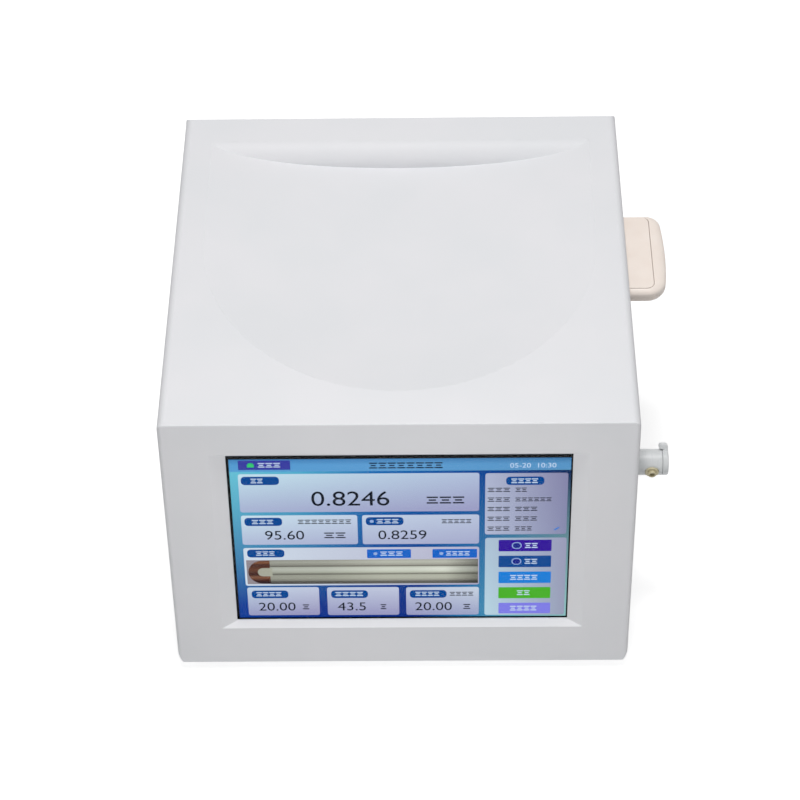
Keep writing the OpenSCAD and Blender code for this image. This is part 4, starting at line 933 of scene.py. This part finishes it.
def across_and_down(tree, left, top, right, bottom):
    """Shares from 0 to 1 across and down a place of the picture, from Object coordinates."""
    place = add_node(tree, "ShaderNodeTexCoord")
    parts = add_node(tree, "ShaderNodeSeparateXYZ", None, {"Vector": place.outputs["Object"]})
    half = screen().width / 2
    spans = {"X": (left * MM - half, right * MM - half), "Z": (picture_height(top), picture_height(bottom))}
    shares = [add_node(tree, "ShaderNodeMapRange", {"From Min": start, "From Max": end},
                       {"Value": parts.outputs[axis]}) for axis, (start, end) in spans.items()]
    return [share.outputs["Result"] for share in shares]


def ramp(tree, value, stops):
    """A colour ramp from (place, hex) stops."""
    node = add_node(tree, "ShaderNodeValToRGB", None, {"Fac": value})
    elements = node.color_ramp.elements
    while len(elements) < len(stops):
        elements.new(0.5)
    for element, (place, colour) in zip(elements, stops):
        element.position = place
        element.color = linear(colour)
    return node.outputs["Color"]


def blend(tree, share, first, second, blend_type="MIX"):
    """Mixes two colour outputs by a share."""
    settings, links = {"data_type": "RGBA", "blend_type": blend_type}, {6: first, 7: second}
    (settings if isinstance(share, float) else links)[0] = share
    return add_node(tree, "ShaderNodeMix", settings, links).outputs[2]


def lit_by_rows(name, place, upper, lower):
    """Pixels whose upper row and lower row run across in their own colours."""
    material, tree, shader = start_lit(name)
    across, down = across_and_down(tree, *place)
    mixed = blend(tree, down, ramp(tree, across, upper), ramp(tree, across, lower))
    tree.links.new(mixed, shader.inputs["Emission Color"])
    return material


def lit_backdrop():
    """Backdrop: cyan at the left and top, deep blue at the middle, sea green low at the right, with painted
    shade of the frame darkening the top right.
    """
    # The upper row's last stops, dark navy at the right end, are painted shade: the frame's shadow over the
    # picture's top right.
    upper = [(0.0, "#6ECBE0"), (0.2, "#56B6D8"), (0.42, "#1C70BA"), (0.72, "#0E4C9C"), (0.9, "#103A7C"),
             (1.0, "#142E5A")]
    lower = [(0.0, "#12409C"), (0.25, "#0E3490"), (0.55, "#0C3088"), (0.7, "#2C7CB4"), (0.84, "#64AEC0"),
             (1.0, "#96C8C8")]
    return lit_by_rows("backdrop", (0, LIT_TOP + 14, 218, LIT_BOTTOM - 8), upper, lower)


def lit_header():
    """Header: mid blue, darker along its top edge."""
    upper = [(0.0, "#3A78B4"), (0.5, "#3F7CB6"), (1.0, "#34689C")]
    lower = [(0.0, "#5AA4DC"), (0.5, "#62A4DA"), (1.0, "#5C9CCE")]
    return lit_by_rows("header", (0, LIT_TOP, 218, HEADER_BOTTOM - 3), upper, lower)


def lit_tube():
    """Glass tube seen by the meter's camera: dark walls, bright bore, and a glint at the right."""
    material, tree, shader = start_lit("tube")
    across, down = across_and_down(tree, TUBE_LEFT, TUBE_TOP, TUBE_RIGHT, TUBE_BOTTOM)
    bands = [(0.0, "#77746C"), (0.05, "#A9A69C"), (0.2, "#C6C6B8"), (0.33, "#A6A498"), (0.36, "#6A665E"),
             (0.41, "#CDCFC0"), (0.5, "#D8DACC"), (0.62, "#C4C6B4"), (0.7, "#7A786E"), (0.74, "#BEBEAE"),
             (0.86, "#BEBEAE"), (0.97, "#97958A"), (1.0, "#66645E")]
    fall = ramp(tree, across, [(0.0, "#D4D4D4"), (0.35, "#E2E2E2"), (0.6, "#FFFFFF"), (0.86, "#FFFFFF"),
                               (1.0, "#A8A8A8")])
    walls = blend(tree, 1.0, ramp(tree, down, bands), fall, "MULTIPLY")
    glint = ramp(tree, across, [(0.0, "#8C8C8C"), (0.3, "#9A9A9A"), (0.72, "#A2A2A2"), (0.84, "#F4F4F4"),
                                (0.93, "#B4B4B4"), (1.0, "#C4C4C4")])
    bore = ramp(tree, down, [(0.0, "#000000"), (0.38, "#101010"), (0.46, "#A0A09C"), (0.58, "#A0A09C"),
                             (0.66, "#101010"), (1.0, "#000000")])
    shine = blend(tree, 1.0, glint, bore, "MULTIPLY")
    tree.links.new(blend(tree, 0.45, walls, shine, "ADD"), shader.inputs["Emission Color"])
    return material


def lit_bend():
    """The tube's bend: amber glass with near-black outlines."""
    stops = [(0.0, "#35201E"), (0.10, "#5A382E"), (0.2, "#8A5A40"), (0.3, "#4A2A24"), (0.5, "#6E4432"),
             (0.7, "#3E2220"), (0.82, "#8C5E46"), (0.92, "#563228"), (1.0, "#2E1A1C")]
    material, tree, shader = start_lit("bend")
    down = across_and_down(tree, TUBE_LEFT, TUBE_TOP, BEND_END, TUBE_BOTTOM)[1]
    tree.links.new(ramp(tree, down, stops), shader.inputs["Emission Color"])
    return material


class DENSITYMETER_OT_glass(bpy.types.Operator):
    """Build the touch glass and the black print on its back"""
    bl_idname = "density_meter.glass"
    bl_label = "Touch glass"

    def execute(self, context):
        low, high = front_span("touch_glass")
        gap = 0.25 * MM
        pane = block(low, high - gap * Y, on_front(), "touch_pane")
        soften(pane, 0.2 * MM, 2, 35)
        finish(pane, material_for("touch_glass"), "case")
        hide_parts("touch_glass")

        thin, edge = 0.04 * MM, Vector((MM, 0, MM))
        low.y = high.y - gap + thin
        high.y = low.y + thin
        border = block(low + edge, high - edge, on_front(), "glass_print")
        w = screen()
        half_w, slim = w.width / 2 - w.border, 0.7 * MM
        top = -w.top - (LIT_TOP - 0.4) * MM
        bottom = -w.top - (LIT_BOTTOM + 0.2) * MM
        combine(border, block((-half_w, low.y - MM, bottom), (half_w + slim, high.y + MM, top), on_front()))
        border.data.materials.append(border_ink())
        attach(border, "case")
        return {"FINISHED"}


class DENSITYMETER_OT_picture(bpy.types.Operator):
    """Build the lit picture from plain tiles, marks and digits"""
    bl_idname = "density_meter.picture"
    bl_label = "Lit picture"

    def execute(self, context):
        self.tile("backdrop", lit_backdrop(), (0.5, LIT_TOP - 0.6, 217.5, LIT_BOTTOM + 0.6), 0)
        self.tile("header", lit_header(), (1, LIT_TOP - 0.6, 217, HEADER_BOTTOM), 1)
        self.tile("menu", lit("menu", "#3B3FA6"), (7.3, 6.3, 40.3, 13.7), 2, 0.5)
        for name, left, top, right, bottom, *tones in CARDS:
            colours = [[(0.0, tones[i]), (1.0, tones[i + 1])] for i in (0, 2)]
            place = (left, top, right, bottom)
            self.tile("card_" + name, lit_by_rows("card_" + name, place, *colours), place, 1, 1.6)
        for name, colour, *place in KEYS:
            self.tile("key_" + name, lit("key_" + name, colour), place, 2, 0.7)
        bm = bmesh.new()
        for left, top in PILLS:
            add_tile(bm, left, top, left + PILL_SIZE[0], top + PILL_SIZE[1], 2, 2.6)
        picture_piece("picture_pills", bm, lit("pill", "#064A98"))
        self.words("dark", "#141A26", DARK_WORDS, READINGS)
        self.words("pale", "#D4E6FA", PALE_WORDS, PALE_NUMBERS)
        self.tube_view()
        self.marks()
        return {"FINISHED"}

    def tile(self, name, material, place, layer, corner=0.0):
        bm = bmesh.new()
        add_tile(bm, *place, layer, corner)
        picture_piece("picture_" + name, bm, material)

    def words(self, name, colour, rows, numbers):
        bm = bmesh.new()
        for row in rows:
            add_words(bm, *row)
        for number in numbers:
            add_numbers(bm, *number)
        picture_piece("picture_marks_" + name, bm, lit("marks_" + name, colour))

    def tube_view(self):
        """The meter's camera picture: pale ground, the long tube, and its bend at the left."""
        ground = (TUBE_LEFT, TUBE_TOP, BEND_END, TUBE_BOTTOM)
        self.tile("tube_ground", lit("tube_ground", "#9A9096"), ground, 2)
        self.tile("tube", lit_tube(), (BEND_END - 0.5, TUBE_TOP, TUBE_RIGHT, TUBE_BOTTOM), 2)
        middle, height = (TUBE_TOP + TUBE_BOTTOM) / 2, TUBE_BOTTOM - TUBE_TOP
        outer, inner = height * 0.475, height * 0.17
        start = TUBE_LEFT + 1.0
        bm = bmesh.new()
        verts = add_tile(bm, start, middle - outer, BEND_END, middle + outer, 3)
        left = [edge for edge in edges_along(verts, Y) if edge.verts[0].co.x < start + 1]
        round_edges(bm, left, outer * 0.99, 16)
        picture_piece("picture_bend", bm, lit_bend())
        bm = bmesh.new()
        verts = add_tile(bm, start + outer - inner, middle - inner, BEND_END + 1.5, middle + inner, 4)
        left = [edge for edge in edges_along(verts, Y) if edge.verts[0].co.x < start + outer]
        round_edges(bm, left, inner * 0.99, 12)
        picture_piece("picture_bend_bore", bm, lit("bend_bore", "#B2B2A0"))

    def marks(self):
        """A green dome on the menu key, rings and dots on keys, and a short slanted stroke."""
        bm = bmesh.new()
        verts = add_tile(bm, *DOME, 3)
        top = [edge for edge in edges_along(verts, Y) if edge.verts[0].co.z < (DOME[1] + DOME[3]) / 2]
        round_edges(bm, top, 2.2, 8)
        picture_piece("picture_dome", bm, lit("dome", "#35CE76"))
        bm = bmesh.new()
        for x, z in RINGS:
            for layer, size in ((3, 3.2), (4, 2.6)):
                add_spot(bm, x, z, size, 0.86 * size, layer, 0.84 * size)
        for x, z in DOTS:
            add_spot(bm, x, z, 1.3, 1.2, 5, 1.15, 6)
        picture_piece("picture_rings", bm, lit("rings", "#9DB8E6"))
        bm = bmesh.new()
        for x, z in RINGS:
            add_spot(bm, x, z, 2.5, 2.1, 5, 2.05)
        picture_piece("picture_ring_cores", bm, lit("ring_cores", "#1E2A8E"))
        bm = bmesh.new()
        add_tile(bm, *STROKE, 3, 0.3)
        bmesh.ops.rotate(bm, cent=STROKE_PIVOT, matrix=Matrix.Rotation(math.radians(STROKE_TURN), 3, "Y"),
                         verts=bm.verts)
        picture_piece("picture_stroke", bm, lit("stroke", "#2E7CE0"))


# ---------------------------------------------------------------- sample port

class DENSITYMETER_OT_port(bpy.types.Operator):
    """Build the turned port, its end cap with the hooked lug, and the inlet fitting"""
    bl_idname = "density_meter.port"
    bl_label = "Sample port"

    def execute(self, context):
        port = context.scene.density_meter_port
        centre = Vector((CASE_HIGH.x, crease_y() + port.place, (INLET_LOW.z + INLET_HIGH.z) / 2))
        inlet_x = (INLET_LOW.x + INLET_HIGH.x) / 2
        self.barrel(port, centre, inlet_x)
        self.cap(port, centre, inlet_x)
        self.fitting(Vector((inlet_x, centre.y - port.inlet_out, centre.z)))
        return {"FINISHED"}

    def barrel(self, port, centre, inlet_x):
        """Barrel with its neck through the wall, the cap's bore, and two nipples inside the case."""
        radius, soft, out = port.radius, port.soft, PORT_HIGH.x - centre.x
        bm = bmesh.new()
        end = [(radius, out - soft), (radius - 0.3 * soft, out - 0.3 * soft), (radius - soft, out), (0, out)]
        turn(bm, [(0, -port.neck_run), (port.neck, -port.neck_run), (port.neck, 0), (radius, 0)] + end,
             along(X, centre))
        barrel = new_object("port_barrel", bm)
        drill(barrel, -X, (PORT_HIGH.x + MM, centre.y, centre.z), port.bore, port.bore_run + MM)
        drill(barrel, -Y, (inlet_x, centre.y - port.inlet_out, centre.z), port.seat, 5 * MM)
        drill(barrel, -Y, (inlet_x, centre.y - 3 * MM, centre.z), 2.65 * MM, 10 * MM)
        bore, mouth, outer, run = 0.7 * MM, 1.2 * MM, 1.4 * MM, 6.2 * MM
        for side in (-1, 1):
            bm = bmesh.new()
            turn(bm, [(bore, 0), (mouth, 0), (outer, MM), (outer, run), (bore, run), (bore, 0)],
                 along(X, (PORT_LOW.x, centre.y, centre.z + side * 3 * MM)), 32)
            combine(barrel, new_object("nipple", bm), "UNION")
        finish(barrel, material_for("port_plastic"), "case", sharp=25)
        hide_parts("port_body")

    def cap(self, port, centre, inlet_x):
        """End disc with a soft rim on its spindle, and the lug that hooks back over the barrel."""
        start = Vector((PORT_HIGH.x + 0.2 * MM, centre.y, centre.z))
        thick, soft = CAP_HIGH.x - start.x, port.cap_rim
        radius, chamfer = port.radius, 0.2 * MM
        rim = [(radius - soft * (1 - math.sin(a)), thick - soft * (1 - math.cos(a)))
               for a in (math.radians(90 - 15 * i) for i in range(7))]
        bm = bmesh.new()
        turn(bm, [(0, -port.spindle_run), (port.spindle, -port.spindle_run), (port.spindle, 0),
                  (radius - chamfer, 0), (radius, chamfer)] + rim + [(0, thick)], along(X, start))
        cap = new_object("port_cap_turned", bm)
        combine(cap, self.lug(port, start, thick), "UNION")
        drill(cap, Y, (inlet_x, centre.y - radius, centre.z), 0.9 * MM, 2 * radius, 24)
        finish(cap, material_for("port_plastic"), "port_cap", sharp=25)
        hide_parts("port_cap")

    def lug(self, port, start, thick):
        """The lug, drawn in the plane of the port's axis and turned to its place."""
        root, low = 5 * MM, port.radius + port.lug_gap
        near, far = 0.4 * MM, thick - 0.2 * MM
        profile = [(near, root), (far, root), (far, port.lug_reach), (-port.lug_hook, port.lug_reach),
                   (-port.lug_hook, low), (near, low)]
        bm = bmesh.new()
        face = bm.faces.new([bm.verts.new((x, y, -port.lug_width / 2)) for x, y in profile])
        raised = bmesh.ops.extrude_face_region(bm, geom=[face])["geom"]
        bmesh.ops.translate(bm, vec=(0, 0, port.lug_width), verts=only(raised, bmesh.types.BMVert))
        close_and_point_out(bm)
        top = [edge for edge in edges_along(bm.verts, Z) if edge.verts[0].co.y > port.lug_reach - 0.1 * MM]
        round_edges(bm, top, 1.5 * MM, 6)
        bmesh.ops.transform(bm, matrix=Matrix.Translation(start) @ Matrix.Rotation(port.lug_turn, 4, "X"),
                            verts=bm.verts)
        lug = new_object("lug", bm)
        soften(lug, 0.5 * MM)
        return lug

    def fitting(self, place):
        """Flange and tip with turned chamfers and the bore that takes the sample tube."""
        inner, outer = place.y - INLET_HIGH.y, place.y - INLET_LOW.y
        tube, stop = 1.6 * MM, 0.8 * MM
        tip, neck, flange = 2.75 * MM, 2.6 * MM, 4.5 * MM
        bm = bmesh.new()
        turn(bm, [(tube, inner + MM), (tube, outer - 0.4 * MM), (tube + 0.3 * MM, outer),
                  (tip - 0.35 * MM, outer), (tip, outer - 0.35 * MM), (tip, 1.2 * MM),
                  (flange - 0.3 * MM, 1.2 * MM), (flange, 0.9 * MM), (flange, 0.2 * MM),
                  (flange - 0.2 * MM, 0), (neck, 0), (neck, inner), (stop, inner), (stop, inner + MM),
                  (tube, inner + MM)], along(-Y, place), 64)
        fitting = finish(new_object("inlet_ferrule", bm), material_for("peek"), "case", sharp=25)
        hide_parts("inlet_fitting")


# ---------------------------------------------------------------- filter box

def box():
    return bpy.context.scene.density_meter_box


def corner_edges(bm, out, at_y):
    """Upright edges at one outer corner of the filter box and its mirror image in the wall."""
    return [edge for edge in edges_along(bm.verts, Z)
            if abs(edge.verts[0].co.x - CASE_HIGH.x) > out - MM and abs(edge.verts[0].co.y - at_y) < MM]


def box_form(name, low_z, high_z, inset, upwards):
    """One half of the filter box: its bowed outline, drawn in towards the top or the bottom.

    It is drawn with its mirror image in the wall, so that both drawn-in sides run on to the wall.
    """
    wall, out = CASE_HIGH.x, BASE_HIGH.x - CASE_HIGH.x
    front, rear = COVER_LOW.y, COVER_HIGH.y
    straight = 0.35 * (high_z - low_z)
    rise = (high_z - low_z) - straight
    bm = bmesh.new()
    add_block(bm, (wall - out, front, 0), (wall + out, rear, straight))
    round_edges(bm, corner_edges(bm, out, front), box().front_corner, 12)
    round_edges(bm, corner_edges(bm, out, rear), box().rear_corner, 10)
    sides = [edge for edge in bm.edges if abs(abs(edge.verts[0].co.x - wall) - out) < 0.01 * MM
             and abs(edge.verts[0].co.y - edge.verts[1].co.y) > 20 * MM]
    bmesh.ops.subdivide_edges(bm, edges=sides, cuts=13, use_grid_fill=True)
    for vert in bm.verts:
        fall = (vert.co.y - (front + rear) / 2) ** 2 / (2 * box().bow)
        vert.co.x -= fall * (vert.co.x - wall) / out
    level = straight - 0.01 * MM
    upper = [face for face in bm.faces if face.calc_center_median().z > level]
    top = bmesh.ops.dissolve_faces(bm, faces=upper)["region"]
    steps = 7
    past = [(inset * (1 - math.cos(k * math.pi / 2 / steps)), rise * math.sin(k * math.pi / 2 / steps))
            for k in range(steps + 1)]
    for (x0, z0), (x1, z1) in zip(past, past[1:]):
        bmesh.ops.inset_region(bm, faces=top, thickness=x1 - x0, depth=z1 - z0, use_even_offset=True)
    cut = bmesh.ops.bisect_plane(bm, geom=bm.verts[:] + bm.edges[:] + bm.faces[:],
                                 plane_co=(wall + 0.05 * MM, 0, 0), plane_no=-X, clear_outer=True)
    bmesh.ops.contextual_create(bm, geom=only(cut["geom_cut"], bmesh.types.BMEdge))
    if not upwards:
        bmesh.ops.scale(bm, vec=(1, 1, -1), verts=bm.verts)
    bmesh.ops.translate(bm, vec=(0, 0, low_z if upwards else high_z), verts=bm.verts)
    close_and_point_out(bm)
    return new_object(name, bm)


def lid_form(name, grow, low_z, high_z):
    """The lid's outline with its two round outer corners."""
    bm = bmesh.new()
    verts = add_block(bm, (LID_LOW.x - grow, LID_LOW.y - grow, low_z),
                      (LID_HIGH.x + grow, LID_HIGH.y + grow, high_z))
    outer = [edge for edge in edges_along(verts, Z) if edge.verts[0].co.x > LID_HIGH.x - MM]
    round_edges(bm, outer, box().lid_corner + grow, 10)
    return new_object(name, bm)


class DENSITYMETER_OT_filter_box(bpy.types.Operator):
    """Build the filter box: base, cover and hinged lid"""
    bl_idname = "density_meter.filter_box"
    bl_label = "Filter box"

    def execute(self, context):
        middle = (COVER_LOW.y + COVER_HIGH.y) / 2
        pin = (PIN_LOW + PIN_HIGH) / 2
        self.base(box(), middle, COVER_LOW.z)
        self.cover(box(), pin, COVER_LOW.z, COVER_HIGH.z)
        self.lid(box(), pin)
        return {"FINISHED"}

    def base(self, size, middle, parting):
        """Lower half, open above, with the air hole and two screw holes in its wall side."""
        wall, low = CASE_HIGH.x, BASE_LOW.z
        base = box_form("filter_box_base", low, parting - size.seam, size.base_inset, False)
        combine(base, block((wall + size.wall, COVER_LOW.y + size.end_wall, low + size.wall),
                            (BASE_HIGH.x - size.outer_wall, COVER_HIGH.y - size.end_wall, parting + MM)))
        start = wall + 0.3 * MM
        spigot = rod("spigot", -X, (start, middle, parting), start - BASE_LOW.x, size.spigot)
        combine(spigot, block((wall, middle - 5 * MM, parting - size.seam),
                              (wall + MM, middle + 5 * MM, parting + 5 * MM)))
        combine(base, spigot, "UNION")
        drill(base, -X, (wall + 3 * MM, middle, parting), size.air_hole, 20 * MM, 32)
        for side in (-1, 1):
            drill(base, X, (wall - MM, middle + side * 22 * MM, low + 3 * MM), 1.35 * MM, 4 * MM, 24)
        finish(base, material_for("cream_plastic"), "case", sharp=22)
        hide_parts("filter_base")

    def cover(self, size, pin, parting, high):
        """Upper half with the lid's opening, its ledge and the hinge's trough."""
        gap, ledge = size.lid_gap, 2 * MM
        cover = box_form("filter_box_cover", parting + size.seam, high, size.cover_inset, True)
        combine(cover, lid_form("lid_space", gap, LID_HIGH.z - size.lid_thick - gap, high + MM))
        combine(cover, block((LID_LOW.x + ledge, LID_LOW.y + size.end_wall, parting - MM),
                             (LID_HIGH.x - 2.2 * MM, LID_HIGH.y - size.end_wall, high + MM)))
        combine(cover, block((CASE_HIGH.x - MM, LID_LOW.y - gap, parting - MM),
                             (PIN_HIGH.x + 2.6 * MM, LID_HIGH.y + gap, high + MM)))
        drill(cover, Y, (pin.x, PIN_LOW.y - gap, pin.z), 0.85 * MM, PIN_HIGH.y - PIN_LOW.y + 2 * gap, 24)
        finish(cover, material_for("cream_plastic"), "case", sharp=22)
        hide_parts("filter_cover")

    def lid(self, size, pin):
        """Flat lid with a soft rim and its hinge barrel."""
        lid = lid_form("filter_box_lid", 0.0, LID_HIGH.z - size.lid_thick, LID_HIGH.z)
        soften(lid, 0.3 * MM)
        run = LID_HIGH.y - LID_LOW.y
        combine(lid, rod("barrel", Y, (pin.x, LID_LOW.y, pin.z), run, size.hinge), "UNION")
        drill(lid, Y, (pin.x, LID_LOW.y - MM, pin.z), 0.9 * MM, run + 2 * MM, 24)
        finish(lid, material_for("cream_plastic"), "filter_lid", sharp=22)
        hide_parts("filter_lid")


# ---------------------------------------------------------------- frame nodes

class DENSITYMETER_OT_materials(bpy.types.Operator):
    """Give every node of the frame the material of its slot"""
    bl_idname = "density_meter.materials"
    bl_label = "Materials of the frame"

    def execute(self, context):
        for part in frame["record"]["subparts"]:
            mesh = frame["nodes"][part["node"]].data
            mesh.materials.clear()
            mesh.materials.append(material_for(part["material_slot"]))
        return {"FINISHED"}


# ---------------------------------------------------------------- stage

def seen_directly(tree):
    """1 for what the camera sees, also in metal and through glass, and 0 for what lights the object."""
    path = add_node(tree, "ShaderNodeLightPath")
    mirrored = add_node(tree, "ShaderNodeMath", {"operation": "MAXIMUM"},
                        {0: path.outputs["Is Glossy Ray"], 1: path.outputs["Is Transmission Ray"]})
    seen = add_node(tree, "ShaderNodeMath", {"operation": "MAXIMUM"},
                    {0: path.outputs["Is Camera Ray"], 1: mirrored.outputs[0]})
    return seen.outputs[0]


def pale_floor():
    """Matt white studio floor that reads white to the camera and keeps the object's soft shadow."""
    material, tree, shader = start_material("white_floor", "#C4C4C4", Roughness=0.9)
    shader.inputs["Emission Color"].default_value = linear("#FFFFFF")
    glow = bpy.context.scene.density_meter_stage.floor_glow
    lift = add_node(tree, "ShaderNodeMath", {"operation": "MULTIPLY", 1: glow}, {0: seen_directly(tree)})
    tree.links.new(lift.outputs[0], shader.inputs["Emission Strength"])
    return material


class DENSITYMETER_OT_stage(bpy.types.Operator):
    """Set the floor, the even world light, two soft lights and the camera"""
    bl_idname = "density_meter.stage"
    bl_label = "Stage"

    def execute(self, context):
        scene = context.scene
        s = scene.density_meter_stage
        self.floor(s)
        self.world(scene, s)
        self.lamp("top_light", s.top_place, s.top_aim, s.top_size, s.top_light)
        self.lamp("front_light", s.front_place, s.front_aim, s.front_size, s.front_light)
        self.camera(scene, s)
        scene.view_settings.view_transform = "Standard"
        return {"FINISHED"}

    def floor(self, s):
        bm = bmesh.new()
        bmesh.ops.create_grid(bm, x_segments=1, y_segments=1, size=s.floor_size / 2)
        floor = new_object("floor", bm)
        floor.data.materials.append(pale_floor())

    def world(self, scene, s):
        world = bpy.data.worlds.new("studio")
        world.use_nodes = True
        tree = world.node_tree
        background = tree.nodes["Background"]
        background.inputs["Color"].default_value = linear("#FFFFFF")
        strength = add_node(tree, "ShaderNodeMix", {"data_type": "FLOAT", 2: s.world_light, 3: 1.0},
                            {0: seen_directly(tree)})
        tree.links.new(strength.outputs[0], background.inputs["Strength"])
        scene.world = world

    def lamp(self, name, place, target, size, power):
        light = bpy.data.lights.new(name, "AREA")
        light.shape = "DISK"
        light.size = size
        light.energy = power
        lamp = bpy.data.objects.new(name, light)
        aim = Vector(target) - Vector(place)
        lamp.matrix_world = Matrix.Translation(place) @ aim.to_track_quat("-Z", "Y").to_matrix().to_4x4()
        bpy.context.scene.collection.objects.link(lamp)

    def camera(self, scene, s):
        view = bpy.data.cameras.new("photo_view")
        view.lens = s.lens
        view.clip_end = 50
        camera = bpy.data.objects.new("photo_view", view)
        right = Vector((math.cos(s.yaw), -math.sin(s.yaw), 0))
        ahead = Vector((math.sin(s.yaw) * math.cos(s.pitch), math.cos(s.yaw) * math.cos(s.pitch),
                        -math.sin(s.pitch)))
        up = right.cross(ahead)
        turned_right = right * math.cos(s.roll) + up * math.sin(s.roll)
        turned_up = up * math.cos(s.roll) - right * math.sin(s.roll)
        axes = Matrix((turned_right, turned_up, -ahead)).transposed().to_4x4()
        camera.matrix_world = Matrix.Translation(s.camera_place) @ axes
        scene.collection.objects.link(camera)
        scene.camera = camera


# ---------------------------------------------------------------- add-on

class DENSITYMETER_PT_panel(bpy.types.Panel):
    """Lists the operators and sizes"""
    bl_idname = "DENSITYMETER_PT_panel"
    bl_label = "Density Meter"
    bl_space_type = "VIEW_3D"
    bl_region_type = "UI"
    bl_category = "Density Meter"

    def draw(self, context):
        for operator in OPERATORS:
            self.layout.operator(operator.bl_idname)
        for setting in GROUPS:
            group = getattr(context.scene, setting)
            column = self.layout.box()
            for name in group.bl_rna.properties.keys():
                if name not in ("rna_type", "name"):
                    column.prop(group, name)


OPERATORS = (DENSITYMETER_OT_materials, DENSITYMETER_OT_stage, DENSITYMETER_OT_case, DENSITYMETER_OT_glass,
             DENSITYMETER_OT_picture, DENSITYMETER_OT_port, DENSITYMETER_OT_filter_box)
GROUPS = {"density_meter_case": DensityMeterCase, "density_meter_screen": DensityMeterScreen,
          "density_meter_port": DensityMeterPort, "density_meter_box": DensityMeterBox,
          "density_meter_stage": DensityMeterStage}
CLASSES = (*GROUPS.values(), *OPERATORS, DENSITYMETER_PT_panel)


def register():
    for cls in CLASSES:
        bpy.utils.register_class(cls)
    for setting, group in GROUPS.items():
        setattr(bpy.types.Scene, setting, PointerProperty(type=group))


def unregister():
    for setting in GROUPS:
        delattr(bpy.types.Scene, setting)
    for cls in reversed(CLASSES):
        bpy.utils.unregister_class(cls)


def main():
    register()
    bpy.ops.density_meter.stage()
    bpy.ops.density_meter.materials()
    bpy.ops.density_meter.case()
    bpy.ops.density_meter.glass()
    bpy.ops.density_meter.picture()
    bpy.ops.density_meter.port()
    bpy.ops.density_meter.filter_box()


if __name__ == "__main__":
    main()
